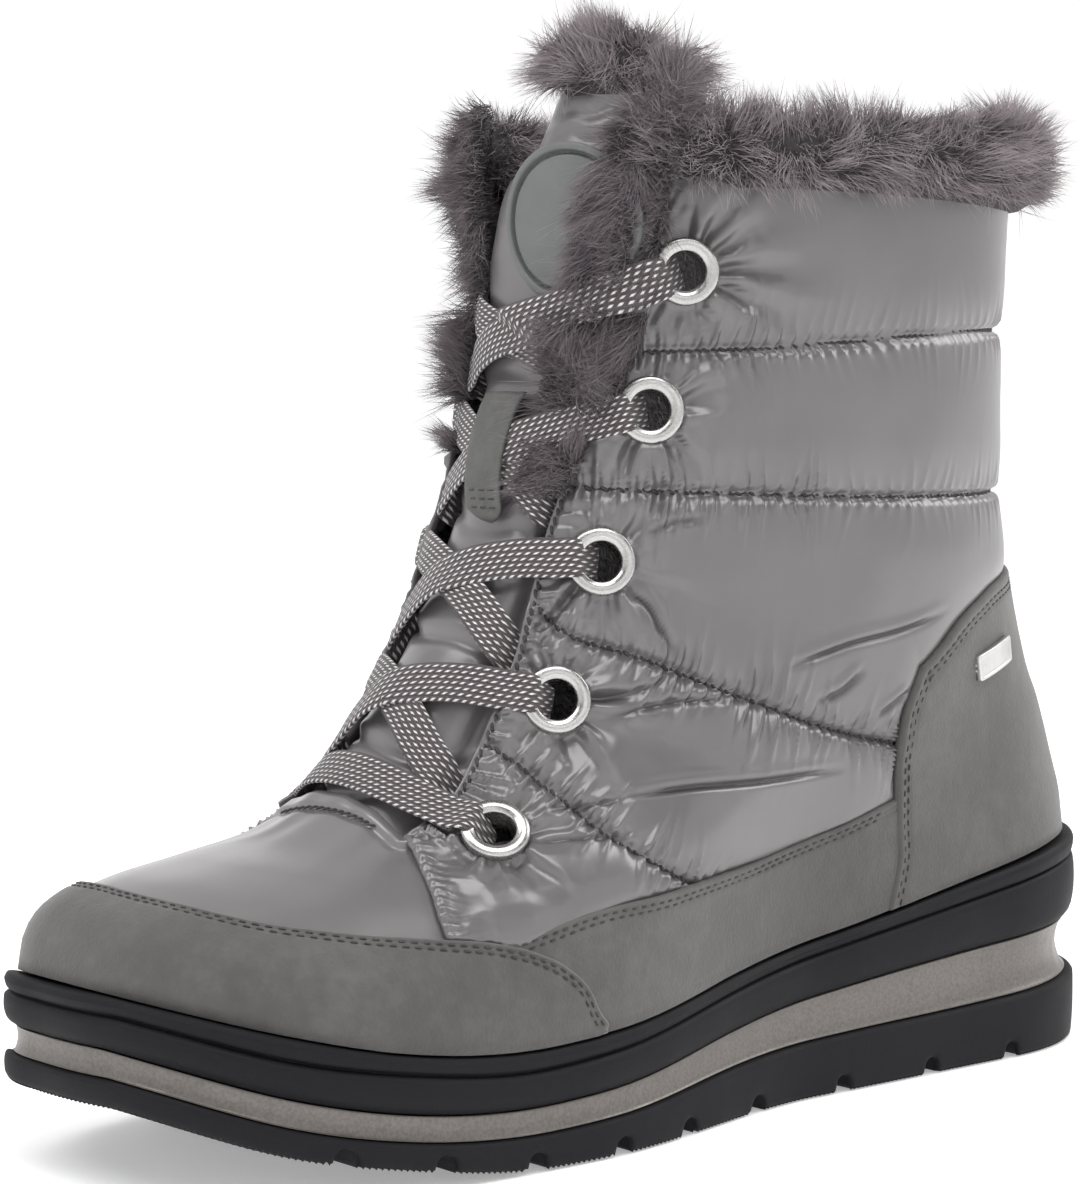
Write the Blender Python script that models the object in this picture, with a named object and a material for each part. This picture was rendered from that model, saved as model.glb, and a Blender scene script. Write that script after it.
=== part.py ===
"""Lined winter ankle boot for the left foot, as an assembly of its separate pieces.

Metres, +Z up.  The toe points to -Y, the outer side of the foot to +X.  The origin is on the
ground, on the middle tread block, half way along the outsole.

Every piece is placed from two surfaces.  The sole is a stack of layers whose heights follow
the band table and whose outline is one plan curve.  The upper is a grid of a height share v,
0 at the sole and 1 at the collar, and an angle a round the foot, 0 at the toe and 180 at the
heel, positive on the outer side.
"""
import math

import bmesh
import bpy
import numpy as np

MM = 0.001
SHARP = math.radians(40)        # an edge that turns by more than this is drawn sharp
GAP = 0.4 * MM                  # air between pieces that are glued or sewn together
WALL = 4.5 * MM                 # shell, wadding and fleece lining together
RAND = 1.3 * MM                 # leather of the toe rand, side rands and heel counter
TONGUE_WALL = 4.0 * MM
INSOLE_THICK = 3.0 * MM
INSOLE_ROOM = 1.0 * MM          # room between the insole's edge and the lining
LACE_WIDTH = 8.6 * MM
LACE_THICK = 1.4 * MM
LACE_LIFT = 0.9 * MM            # underside of a lace above what it lies on
EYELET_OUTER = 7.25 * MM
EYELET_BORE = 4.15 * MM
EYELET_BARREL = 4.75 * MM
EYELET_DOME = 1.5 * MM
EYELET_TAIL = .6 * MM           # how far the barrel shows inside the lining
HOLE_LENGTH = 22 * MM
BADGE_RADIUS = 17 * MM
BADGE_THICK = 1.6 * MM
KEEPER_WIDTH = 11.6 * MM
KEEPER_THICK = 1.4 * MM
PLATE_LENGTH = 17.0 * MM
PLATE_WIDTH = 6.2 * MM
PLATE_THICK = 1.1 * MM

# ---- sole tables: heights above the ground, in millimetres, at stations along the foot
BAND_STATION = (-137, -115, -90, -65, -40, 0, 40, 80, 115, 137)
BANDS = {
    "tread": (17, 9.0, 4.0, 0.5, 0, 0, 0, 0, 0, 0),
    "outsole_top": (22.5, 14.7, 9.6, 7.3, 7.8, 11.0, 12.8, 13.8, 15.5, 17),
    "midsole_base": (28.3, 20.6, 15.2, 12.9, 13.8, 18.8, 23.3, 26.6, 28.8, 30),
    "groove": (35.2, 28.0, 23.2, 20.5, 21.8, 27.6, 33.2, 38.6, 43.5, 46),
    "midsole_top": (38.8, 32.4, 26.8, 24.4, 25.4, 30.8, 36.3, 42.6, 48.2, 50.5),
}
NOTCHES = (-105, -84, -62, -39, -17.5, 8, 36.5, 65, 92)     # tread gaps along the foot, mm
NOTCH_WIDTH = 5.0 * MM
NOTCH_HEIGHT = 4.0 * MM
NOTCH_DEPTH = 12 * MM           # how far a cutter reaches below the tread
NOTCH_REACH = 80 * MM           # and to either side of the middle line

# ---- outline columns: ends of the curve, sideways bend of the toe, reach of the two round
# ends, half widths to the outer (l) and inner (m) side, and roundness of the ends
OUTLINE = ("front", "back", "nose", "cap_f", "cap_b", "ball_l", "ball_m",
           "waist_l", "waist_m", "heel_l", "heel_m", "round_f", "round_b")
LENGTHS = ("z_front", "z_back", "front", "back", "nose", "ball_l", "ball_m",
           "waist_l", "waist_m", "heel_l", "heel_m")
SOLE_OUTLINE = (-141, 135.5, -14, .31, .16, 51, 47.5, 37.5, 34.5, 36.5, 34.5, 2.7, 2.2)

UPPER_COLUMNS = ("z_front", "z_back", "follow") + OUTLINE
UPPER_ROWS = (
    # height at toe and heel, share of the sole's rise, then the outline
    (39.2, 50.9, 1.0, -136.5, 131.0, -13, .31, .16, 48.5, 45.0, 35.5, 32.0, 33.0, 31.5, 2.7, 2.2),
    (47.0, 60.0, 1.0, -134.5, 130.0, -13, .31, .17, 49.5, 45.5, 36.0, 32.5, 33.0, 31.5, 2.7, 2.2),
    (52.5, 68.0, 0.9, -129.5, 128.0, -12, .34, .18, 48.5, 45.0, 36.5, 33.5, 32.5, 31.5, 2.6, 2.2),
    (57.0, 75.0, 0.8, -118.5, 126.0, -11, .40, .20, 47.5, 43.5, 37.5, 35.0, 32.5, 31.5, 2.4, 2.2),
    (60.0, 82.0, 0.7, -104.0, 123.0, -9, .45, .22, 46.0, 42.5, 38.0, 36.0, 33.0, 32.0, 2.3, 2.2),
    (63.2, 89.0, 0.6, -89.0, 120.5, -7, .48, .25, 44.5, 41.0, 38.5, 37.0, 33.5, 32.5, 2.2, 2.1),
    (69.4, 96.0, 0.5, -76.0, 117.8, -5, .49, .28, 43.0, 40.0, 39.0, 37.5, 34.5, 33.5, 2.15, 2.1),
    (78.9, 103., 0.4, -66.5, 115.5, -4, .50, .32, 41.5, 39.5, 39.5, 38.5, 36.0, 35.0, 2.1, 2.1),
    (91.5, 111., 0.3, -57.5, 113.0, -2, .50, .36, 40.5, 39.0, 40.0, 39.0, 37.5, 36.5, 2.15, 2.1),
    (104., 120., 0.2, -49.5, 110.3, 0, .50, .40, 40.0, 39.0, 40.5, 39.5, 39.0, 38.0, 2.2, 2.1),
    (119., 131., 0.1, -41.5, 108.0, 0, .50, .44, 40.0, 39.5, 41.0, 40.5, 40.5, 39.5, 2.3, 2.15),
    (138., 144., 0.0, -33.0, 106.5, 0, .50, .47, 40.5, 40.0, 41.5, 41.0, 41.0, 40.5, 2.4, 2.2),
    (157., 160., 0.0, -26.5, 105.0, 0, .50, .49, 41.0, 41.0, 42.0, 42.0, 41.5, 41.5, 2.5, 2.3),
    (179., 180., 0.0, -22.0, 105.0, 0, .50, .50, 42.0, 42.0, 42.5, 42.5, 42.5, 42.5, 2.6, 2.3),
    (200., 200., 0.0, -20.0, 106.0, 0, .50, .50, 43.0, 43.0, 43.0, 43.0, 43.0, 43.0, 2.6, 2.3),
)
BALL_L_SHARE, BALL_M_SHARE, WAIST_SHARE, HEEL_SHARE = 0.34, 0.27, 0.62, 0.86
NOSE_SHARE = 0.45               # share of the length over which the toe bends sideways

# ---- throat: half opening in degrees by height share
THROAT_BASE = 0.385
THROAT_V = (.385, .46, .54, .62, .685, .75, .82, .93, 1.0)
THROAT_DEG = (27, 29.6, 28.9, 26.9, 23.9, 21.5, 22.5, 27, 29)

# ---- eyelets from the collar down: height share and degrees from the toe
EYELETS = ((.932, 39.8), (.834, 37.8), (.711, 37.8), (.559, 40.5), (.377, 42.8))
LACE_BOW = (.004, .026, .06, .10, .115)        # rise of each crossing over the instep

# ---- overlays
TOE_DEG = (0, 14, 27, 37, 48, 56.4, 62, 66.3, 69.6, 71.3, 72.3)
TOE_TOP = (.187, .181, .175, .178, .180, .172, .152, .122, .078, .038, .02)
RAND_HEIGHT = .165                      # where the toe rand is lower, its rows close up
RAND_STEP = .8                          # degrees between one rand's edge and the next piece
SIDE_DEG = (60, 65, 71, 82, 94, 104, 115)
SIDE_TOP = (.165, .182, .2, .194, .184, .192, .212)
COUNTER_V = (0, .1, .23, .33, .42, .5, .6)
COUNTER_DEG = (113.6, 115, 113, 110.7, 109.4, 111.4, 113)
COUNTER_SPAN = (0, .06, .13, .28, .5)
COUNTER_TOP = (.49, .545, .575, .591, .602)

# ---- tongue: at each height share its crown above the upper's surface in mm, the height its
# inner and outer edges are sunk to, and the degrees it reaches to; its head leans outwards
TONGUE_V = (.36, .40, .47, .60, .72, .80, .85, .90, .95, .99, 1.02, 1.06, 1.11)
TONGUE_CROWN = (-5.3, -5.1, -1.6, -1.0, -.6, -.4, 0, 1.6, 5.0, 6.5, 6.5, 5.0, 2.0)
TONGUE_SUNK_IN = (-5.3, -5.3, -5.3, -5.3, -5.3, -5.3, -5.3, -3.5, 2.0, 4.5, 4.5, 3.5, 1.0)
TONGUE_SUNK_OUT = (-5.3, -5.3, -5.3, -5.3, -5.3, -5.3, -5.3, -4.5, 1.0, 3.0, 3.0, 2.0, 0)
TONGUE_INNER = (33, 34, 36, 36, 31, 29, 28, 20, 12, 5, 0, -3, -5)
TONGUE_OUTER = (33, 34, 36, 36, 31, 29, 27, 24, 25.5, 26.5, 27.5, 28.5, 29)
TONGUE_HEAD = 1.11
TONGUE_RISE = 180 * MM          # height of one whole share v above the collar
TONGUE_SHOULDER = .88           # share of the throat's half opening under the raised crown

# ---- how finely each surface is divided
SOLE_COLUMNS, INSOLE_COLUMNS = 56, 48
FRONT_CELLS, REST_CELLS = 8, 42         # columns of the upper in the throat and round the rest
UPPER_LOW, UPPER_HIGH = (.20, .28), (.46, .55, .64, .73, .83, .92, 1.0)
TOE_COLUMNS, SIDE_COLUMNS, COUNTER_COLUMNS, COUNTER_ROWS = 29, 13, 17, 9
TONGUE_ROWS = (.36, .40, .46, .54, .64, .74, .81, .86, .90, .94, .98, 1.015, 1.045, 1.08, 1.11)
TONGUE_SHARES = (.22, .44, .62, .78, .9, 1)
BADGE_SIDES, EYELET_SIDES, KEEPER_RINGS = 20, 12, 9
LACE_RINGS = (18, 11, 11, 10)           # cross-sections of a strip at each crossing
BAR_RINGS = 11
COLLAR_RINGS, HEAD_RINGS = 35, 11

# ---- places of the small pieces
SIDE_CROWDING = .3                      # share by which the columns close up along the sides
RAND_ROWS = (0, .05, .10, .15)          # lowest rows of the upper, shared with the rands
THROAT_BASE_BOW = .012
BADGE_V, BADGE_A = .966, math.radians(12.5)
BADGE_SEAT = .5 * MM                    # room under the badge on the round tongue
BADGE_BEND = 60 * MM                    # radius it is bent to across the tongue
BADGE_COVER = 7.6 * MM                  # underside of a lace where it runs over the badge's rim
BADGE_PROFILE = ((.35, 0), (.7, 0), (.95, 0), (1, .4), (.96, 1), (.7, 1), (.35, 1))
BADGE_SHARE = 252 * MM                  # height of one whole share v at the badge
BADGE_REACH = 55 * MM                   # and width of one radian there
FRONT_REACH = 68 * MM                   # width of one radian at the front of the tongue
KEEPER_TOP, KEEPER_FOOT = .848, .745
KEEPER_ARCH = 3.4 * MM
KEEPER_LEAN = .09                       # of its foot to the outer side, in radians
LACE_END = .8 * MM
LACE_RISE = (.6 * MM, 0, 0, 0)          # of each crossing's upper strip over the lower one
LACE_CROSSING = .25                     # half width of that rise, in radians
LACE_SLACK = .6 * MM                    # more air under the laces where they cross the tongue
PLATE_V, PLATE_DEG, PLATE_TILT = .45, 132.5, math.radians(13)
RAND_SEAT = .6 * MM                     # air under the rands, whose facets cross the upper's
PLATE_SEAT = .5 * MM                    # room under the flat plate on the round heel


# ---------------------------------------------------------------- curves and surfaces
def through(xs, ys, x):
    """Smooth curve through the points (xs, ys): cubic pieces with the neighbours' mean slope."""
    xs = np.asarray(xs, float)
    ys = np.asarray(ys, float)
    x = np.asarray(x, float)
    step = np.diff(xs)
    rise = np.diff(ys) / step
    slope = np.empty(len(xs))
    slope[0], slope[-1] = rise[0], rise[-1]
    slope[1:-1] = (rise[:-1] * step[1:] + rise[1:] * step[:-1]) / (step[:-1] + step[1:])
    i = np.clip(np.searchsorted(xs, x) - 1, 0, len(xs) - 2)
    t = np.clip((x - xs[i]) / step[i], 0, 1)
    return ((1 + 2 * t) * (1 - t) ** 2 * ys[i] + t * (1 - t) ** 2 * step[i] * slope[i]
            + t * t * (3 - 2 * t) * ys[i + 1] - t * t * (1 - t) * step[i] * slope[i + 1])


def band(name, y):
    """Height of one of the sole's lines at the station y, never below the ground."""
    return np.maximum(through(np.array(BAND_STATION) * MM, np.array(BANDS[name]) * MM, y), 0)


def outline(c, a):
    """Plan curve of a foot: round toe and heel, eased from ball to waist to heel widths."""
    share = (1 - np.cos(a)) / 2

    def cap(distance, reach, power):
        t = np.clip(1 - distance / reach, 0, 1)
        return (1 - t ** power) ** (1 / power)

    def ease(low, high):
        t = np.clip((share - low) / (high - low), 0, 1)
        return t * t * (3 - 2 * t)

    def width(ball, waist, heel, ball_share):
        to_waist = (waist - ball) * ease(ball_share, WAIST_SHARE)
        return ball + to_waist + (heel - waist) * ease(WAIST_SHARE, HEEL_SHARE)

    body = cap(share, c["cap_f"], c["round_f"]) * cap(1 - share, c["cap_b"], c["round_b"])
    outer = width(c["ball_l"], c["waist_l"], c["heel_l"], BALL_L_SHARE)
    inner = width(c["ball_m"], c["waist_m"], c["heel_m"], BALL_M_SHARE)
    middle = c["nose"] * (1 - np.clip(share / NOSE_SHARE, 0, 1)) ** 2
    x = np.where(np.sin(a) >= 0, middle + (outer - middle) * body, middle - (inner + middle) * body)
    return x, c["front"] + (c["back"] - c["front"]) * share


def scaled(columns, values):
    """Table row as a dictionary, with its lengths in metres."""
    return {k: v * MM if k in LENGTHS else v for k, v in zip(columns, values)}


def upper_surface(v, a):
    """Outer face of the upper at height share v and angle a, as an array of points."""
    v, a = np.broadcast_arrays(np.asarray(v, float), np.asarray(a, float))
    table = np.array(UPPER_ROWS)
    stations = np.linspace(0, 1, len(UPPER_ROWS))
    c = scaled(UPPER_COLUMNS, [through(stations, table[:, k], v) for k in range(table.shape[1])])
    x, y = outline(c, a)
    share = (y - c["front"]) / (c["back"] - c["front"])
    toe, heel = band("midsole_top", c["front"]), band("midsole_top", c["back"])
    rise = band("midsole_top", y) - (toe + (heel - toe) * share)
    z = c["z_front"] + (c["z_back"] - c["z_front"]) * share + c["follow"] * rise
    z = z + np.clip(v - 1, 0, None) * TONGUE_RISE
    return np.stack([x, y, z], -1)


def slopes(v, a):
    """Change of the upper's surface for one radian of a and for one share of v."""
    small = 1e-3
    along = (upper_surface(v, a + small) - upper_surface(v, a - small)) / (2 * small)
    low, high = np.maximum(v - small, 0), np.minimum(v + small, 1.2)
    up = (upper_surface(high, a) - upper_surface(low, a)) / (high - low)[..., None]
    return along, up


def raised(v, a, height):
    """Point at a height above the upper's surface, measured along its normal."""
    v, a = np.broadcast_arrays(np.asarray(v, float), np.asarray(a, float))
    along, up = slopes(v, a)
    normal = np.cross(along, up)
    normal /= np.linalg.norm(normal, axis=-1, keepdims=True)
    return upper_surface(v, a) + normal * np.asarray(height)[..., None]


def slide(v, a, move):
    """Height share and angle after moving along the surface by a small vector in space."""
    along, up = slopes(np.asarray(v, float), np.asarray(a, float))
    basis = np.stack([up, along], -1)
    step = np.linalg.lstsq(basis, np.asarray(move), rcond=None)[0]
    return v + step[0], a + step[1]


def throat(v):
    """Half opening of the throat, in radians."""
    return np.radians(through(THROAT_V, THROAT_DEG, v))


def around(share, v):
    """Angle at a share of the way round, outer throat edge to inner, closer along the sides."""
    even = share + SIDE_CROWDING * np.sin(4 * math.pi * share) / (4 * math.pi)
    return throat(v) + even * (2 * math.pi - 2 * throat(v))


def tongue_height(v, a):
    """Tongue's outer face above the upper's surface: a flat crown with sunk edges."""
    crown, sunk_in, sunk_out, inner, outer = (
        through(TONGUE_V, column, v) for column in
        (TONGUE_CROWN, TONGUE_SUNK_IN, TONGUE_SUNK_OUT, TONGUE_INNER, TONGUE_OUTER))
    inner, outer = np.radians(inner), np.radians(outer)
    middle = (outer - inner) / 2
    shoulder = TONGUE_SHOULDER * throat(v)
    beyond = np.where(a > middle, (a - middle) / (np.minimum(shoulder, outer) - middle),
                      (middle - a) / (np.minimum(shoulder, inner) + middle))
    edge = np.where(a > middle, sunk_out, sunk_in)
    return (edge + (crown - edge) * (1 - np.clip(beyond, 0, 1) ** 5)) * MM


# ---------------------------------------------------------------- mesh helpers
def material(name, colour, roughness, metallic=0.0):
    """Plain material of one colour."""
    made = bpy.data.materials.new(name)
    made.use_nodes = True
    shader = made.node_tree.nodes["Principled BSDF"]
    shader.inputs["Base Color"].default_value = (*colour, 1)
    shader.inputs["Roughness"].default_value = roughness
    shader.inputs["Metallic"].default_value = metallic
    return made


def piece(name, points, faces, finish):
    """Object from points and faces, with loose points removed and faces turned outwards."""
    mesh = bpy.data.meshes.new(name)
    mesh.from_pydata([tuple(p) for p in points], [], faces)
    work = bmesh.new()
    work.from_mesh(mesh)
    bmesh.ops.delete(work, geom=[p for p in work.verts if not p.link_faces], context="VERTS")
    bmesh.ops.recalc_face_normals(work, faces=work.faces)
    work.to_mesh(mesh)
    work.free()
    mesh.materials.append(finish)
    mesh.shade_smooth()
    mesh.set_sharp_from_angle(angle=SHARP)
    made = bpy.data.objects.new(name, mesh)
    bpy.context.scene.collection.objects.link(made)
    return made


def shell(outer, inner, present=None, wrap=False):
    """Wall between two grids, with a rim wherever a cell of the grid has no neighbour."""
    rows, columns = outer.shape[:2]
    cells = columns if wrap else columns - 1
    if present is None:
        present = np.ones((rows - 1, cells), bool)
    near = np.arange(rows * columns).reshape(rows, columns)
    far = near + rows * columns
    faces = []

    def missing(i, j):
        if wrap:
            j %= cells
        return not (0 <= i < rows - 1 and 0 <= j < cells and present[i, j])

    for i, j in np.argwhere(present):
        k = (j + 1) % columns
        ring = [(i, j), (i, k), (i + 1, k), (i + 1, j)]
        faces.append([near[p] for p in ring])
        faces.append([far[p] for p in reversed(ring)])
        beside = [(i - 1, j), (i, j + 1), (i + 1, j), (i, j - 1)]
        for side, (ni, nj) in enumerate(beside):
            if missing(ni, nj):
                p, q = ring[side], ring[(side + 1) % 4]
                faces.append([near[q], near[p], far[p], far[q]])
    points = np.concatenate([outer.reshape(-1, 3), inner.reshape(-1, 3)])
    return points, [[int(n) for n in face] for face in faces]


def tube(rings):
    """Closed body from a row of equal rings, with its two ends filled."""
    rows, count = rings.shape[:2]
    faces = [[i * count + j, i * count + (j + 1) % count,
              (i + 1) * count + (j + 1) % count, (i + 1) * count + j]
             for i in range(rows - 1) for j in range(count)]
    faces.append(list(range(count)))
    faces.append(list(range((rows - 1) * count, rows * count)))
    return rings.reshape(-1, 3), faces


def cut(target, cutter, operation="DIFFERENCE"):
    """Boolean of target with cutter, and the cutter kept as a hidden guide."""
    cutter.hide_render = True
    cutter.display_type = "WIRE"
    change = target.modifiers.new(cutter.name, "BOOLEAN")
    change.operation = operation
    change.solver = "EXACT"
    change.object = cutter


def cylinder(name, centre, axis, radius, length, finish):
    """Round bar about an axis, for cutting the eyelet holes."""
    across, up = frame_of(axis)
    turn = np.linspace(0, 2 * math.pi, EYELET_SIDES, endpoint=False)[:, None]
    ring = radius * (np.cos(turn) * across + np.sin(turn) * up)
    rings = np.stack([centre + ring + axis * length * end for end in (-.5, .5)])
    return piece(name, *tube(rings), finish)


def frame_of(axis):
    """Two unit vectors square to an axis, the first one level."""
    across = np.cross([0, 0, 1], axis)
    across = across / np.linalg.norm(across)
    return across, np.cross(axis, across)


# ---------------------------------------------------------------- sole
def sole_layer(name, rings, finish):
    """Layer of the sole: rings of (band, lift, inset) from its base to its top."""
    columns = SOLE_COLUMNS
    a = np.linspace(0, 2 * math.pi, columns, endpoint=False)
    stack = []
    for line, lift, inset in rings:
        c = scaled(OUTLINE, SOLE_OUTLINE)
        for key in ("ball_l", "ball_m", "waist_l", "waist_m", "heel_l", "heel_m", "back"):
            c[key] -= inset * MM
        c["front"] += inset * MM
        x, y = outline(c, a)
        z = sum(weight * band(key, y) for key, weight in line.items()) + lift * MM
        stack.append(np.stack([x, y, z], -1))
    points = np.concatenate(stack)
    faces = [[i * columns + j, i * columns + (j + 1) % columns,
              (i + 1) * columns + (j + 1) % columns, (i + 1) * columns + j]
             for i in range(len(rings) - 1) for j in range(columns)]
    for first in (0, (len(rings) - 1) * columns):
        for j in range(columns // 2):
            corners = (j, j + 1, (columns - j - 1) % columns, (columns - j) % columns)
            faces.append([first + k for k in dict.fromkeys(corners)])
    return piece(name, points, faces, finish)


def notch_cutter(station, finish):
    """Arch-shaped bar across the tread that opens one gap between two lugs."""
    half = NOTCH_WIDTH / 2
    arch = [(-half * 1.3, -NOTCH_DEPTH), (-half, 0), (-half, NOTCH_HEIGHT * .6)]
    arch += [(-half * math.cos(t), NOTCH_HEIGHT * (.6 + .4 * math.sin(t)))
             for t in (math.pi / 4, math.pi / 2, 3 * math.pi / 4)]
    arch += [(half, NOTCH_HEIGHT * .6), (half, 0), (half * 1.3, -NOTCH_DEPTH)]
    y = station * MM
    base = float(band("tread", y))
    rings = np.array([[(x, y + dy, base + dz) for dy, dz in arch] for x in (-NOTCH_REACH, NOTCH_REACH)])
    return piece("cut_notch", *tube(rings), finish)


def build_sole(rubber, foam, foil):
    outsole = sole_layer("outsole", [
        ({"tread": 1}, 0, 1.6), ({"tread": 1}, 1.4, 0.3), ({"tread": .5, "outsole_top": .5}, 0, 0),
        ({"outsole_top": 1}, -.8, .5), ({"outsole_top": 1}, 0, 1.0)], rubber)
    for station in NOTCHES:
        cut(outsole, notch_cutter(station, rubber))
    sole_layer("wedge", [
        ({"outsole_top": 1}, .3, 1.8), ({"outsole_top": .5, "midsole_base": .5}, 0, 2.4),
        ({"midsole_base": 1}, -.3, 2.6)], foil)
    sole_layer("midsole", [
        ({"midsole_base": 1}, 0, 2.6), ({"midsole_base": .8, "groove": .2}, 0, 1.0),
        ({"midsole_base": .5, "groove": .5}, 0, 0), ({"groove": 1}, -.9, .5),
        ({"groove": 1}, -.1, 1.5), ({"groove": 1}, .6, .6),
        ({"midsole_top": 1}, -1.6, .2), ({"midsole_top": 1}, -.4, .7),
        ({"midsole_top": 1}, 0, 2.0)], foam)


def build_insole(felt):
    """Footbed: the upper's base outline inside its lining, on the midsole."""
    count = INSOLE_COLUMNS
    a = np.linspace(0, 2 * math.pi, count, endpoint=False)
    edge = raised(np.zeros(count), a, np.full(count, -WALL - INSOLE_ROOM))
    x, y = edge[:, 0], edge[:, 1]
    base = band("midsole_top", y) + GAP
    rings = np.stack([np.stack([x, y, base], -1), np.stack([x, y, base + INSOLE_THICK], -1)])
    points = rings.reshape(-1, 3)
    faces = [[j, (j + 1) % count, count + (j + 1) % count, count + j] for j in range(count)]
    for first in (0, count):
        for j in range(count // 2):
            corners = (j, j + 1, (count - j - 1) % count, (count - j) % count)
            faces.append([first + k for k in dict.fromkeys(corners)])
    piece("insole", points, faces, felt)


# ---------------------------------------------------------------- upper
def build_upper(nylon):
    """Hollow quilted upper, open at the collar, the throat and underneath."""
    low = RAND_ROWS + UPPER_LOW + (THROAT_BASE,)
    v = np.array(low + UPPER_HIGH)[:, None]
    front = np.linspace(-1, 1, FRONT_CELLS + 1)[:-1]
    rest = np.linspace(0, 1, REST_CELLS + 1)[:-1]
    a = np.concatenate([front * throat(v), around(rest, v)], axis=1)
    v = np.broadcast_to(v, a.shape).copy()
    v[len(low) - 1, :FRONT_CELLS] += THROAT_BASE_BOW * (1 - front ** 2)
    outer = raised(v, a, np.zeros(a.shape))
    inner = raised(v, a, np.full(a.shape, -WALL))
    inner[0, :, 2] = outer[0, :, 2]
    present = np.ones((len(v) - 1, FRONT_CELLS + REST_CELLS), bool)
    present[len(low) - 1:, :FRONT_CELLS] = False
    upper = piece("upper", *shell(outer, inner, present, wrap=True), nylon)
    for side in (1, -1):
        for share, degrees in EYELETS:
            centre, axis = stand(share, side * math.radians(degrees))
            cut(upper, cylinder("cut_eyelet", centre, axis, EYELET_BARREL + GAP, HOLE_LENGTH, nylon))


def stand(v, a):
    """Point of the upper's surface and its unit normal."""
    centre = raised(v, a, 0.0)
    axis = raised(v, a, 1.0) - centre
    return centre, axis / np.linalg.norm(axis)


def build_rands(leather):
    """Toe rand, the two side rands and the heel counter, each a shell just off the upper."""
    def overlay(name, v, a):
        piece(name, *shell(raised(v, a, np.full(a.shape, RAND_SEAT + RAND)),
                           raised(v, a, np.full(a.shape, RAND_SEAT))), leather)

    rows = np.array(RAND_ROWS)[:, None]
    edge = math.radians(TOE_DEG[-1])
    a = np.linspace(-edge, edge, TOE_COLUMNS)[None, :] + 0 * np.append(rows, [[1]], 0)
    top = through(np.radians(TOE_DEG), TOE_TOP, np.abs(a[:1]))
    overlay("toe_rand", np.append(rows * np.minimum(top / RAND_HEIGHT, 1), top, 0), a)

    share = np.linspace(0, 1, SIDE_COLUMNS)[None, :]
    for name, side in (("side_rand_outer", 1), ("side_rand_inner", -1)):
        degrees = SIDE_DEG[0] + share * (SIDE_DEG[-1] - SIDE_DEG[0])
        v = np.append(rows + 0 * share, through(SIDE_DEG, SIDE_TOP, degrees), 0)
        start = through(TOE_TOP[:4:-1], TOE_DEG[:4:-1], np.minimum(v, TOE_TOP[5])) + RAND_STEP
        end = through(COUNTER_V, COUNTER_DEG, v) - RAND_STEP
        overlay(name, v, side * np.radians(start + share * (end - start)))

    rise = np.linspace(0, 1, COUNTER_ROWS)[:, None]
    share = np.linspace(0, 1, COUNTER_COLUMNS)[None, :]
    v = rise * through(COUNTER_SPAN, COUNTER_TOP, np.minimum(share, 1 - share))
    start = np.radians(through(COUNTER_V, COUNTER_DEG, v))
    overlay("heel_counter", v, start + share * (2 * math.pi - 2 * start))


def build_plate(steel):
    """Small plain metal plate on the outer side of the heel counter."""
    centre, axis = stand(PLATE_V, math.radians(PLATE_DEG))
    across, up = frame_of(axis)
    along = across * math.cos(PLATE_TILT) + up * math.sin(PLATE_TILT)
    over = np.cross(axis, along)
    corners = [(-1, -1), (1, -1), (1, 1), (-1, 1)]
    flat = np.array([along * PLATE_LENGTH / 2 * i + over * PLATE_WIDTH / 2 * j for i, j in corners])
    low = centre + axis * (RAND_SEAT + RAND + PLATE_SEAT)
    rings = np.stack([low + flat, low + flat * .97 + axis * PLATE_THICK])
    piece("heel_plate", *tube(rings), steel)


# ---------------------------------------------------------------- tongue
def tongue_face(v, a, depth=0.0):
    """Point of the tongue at a depth below its outer face."""
    return raised(v, a, tongue_height(v, a) - depth)


def tongue_grid(v, share, depth):
    """Grid of the tongue at shares -1 to 1 of the way from its inner to its outer edge."""
    inner, outer = through(TONGUE_V, TONGUE_INNER, v), through(TONGUE_V, TONGUE_OUTER, v)
    return tongue_face(v, np.radians((outer - inner) / 2 + share * (outer + inner) / 2), depth)


def badge_frame():
    """Middle of the badge's back and its directions across, up and out, lifted until the whole
    bent disc clears the tongue."""
    centre = tongue_face(BADGE_V, BADGE_A)
    across = tongue_face(BADGE_V, BADGE_A + .12) - tongue_face(BADGE_V, BADGE_A - .12)
    up = tongue_face(BADGE_V + .03, BADGE_A) - tongue_face(BADGE_V - .03, BADGE_A)
    out = np.cross(across, up)
    across, out = across / np.linalg.norm(across), out / np.linalg.norm(out)
    up = np.cross(out, across)
    v, share = np.meshgrid(np.linspace(BADGE_V - .08, BADGE_V + .08, 60), np.linspace(-1, 1, 60))
    near = tongue_grid(v, share, 0 * v) - centre
    x, y, z = near @ across, near @ up, near @ out
    under = np.hypot(x, y) < BADGE_RADIUS + 1 * MM
    lift = (z + x ** 2 / (2 * BADGE_BEND))[under].max() + BADGE_SEAT
    return centre + out * lift, across, up, out


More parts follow.
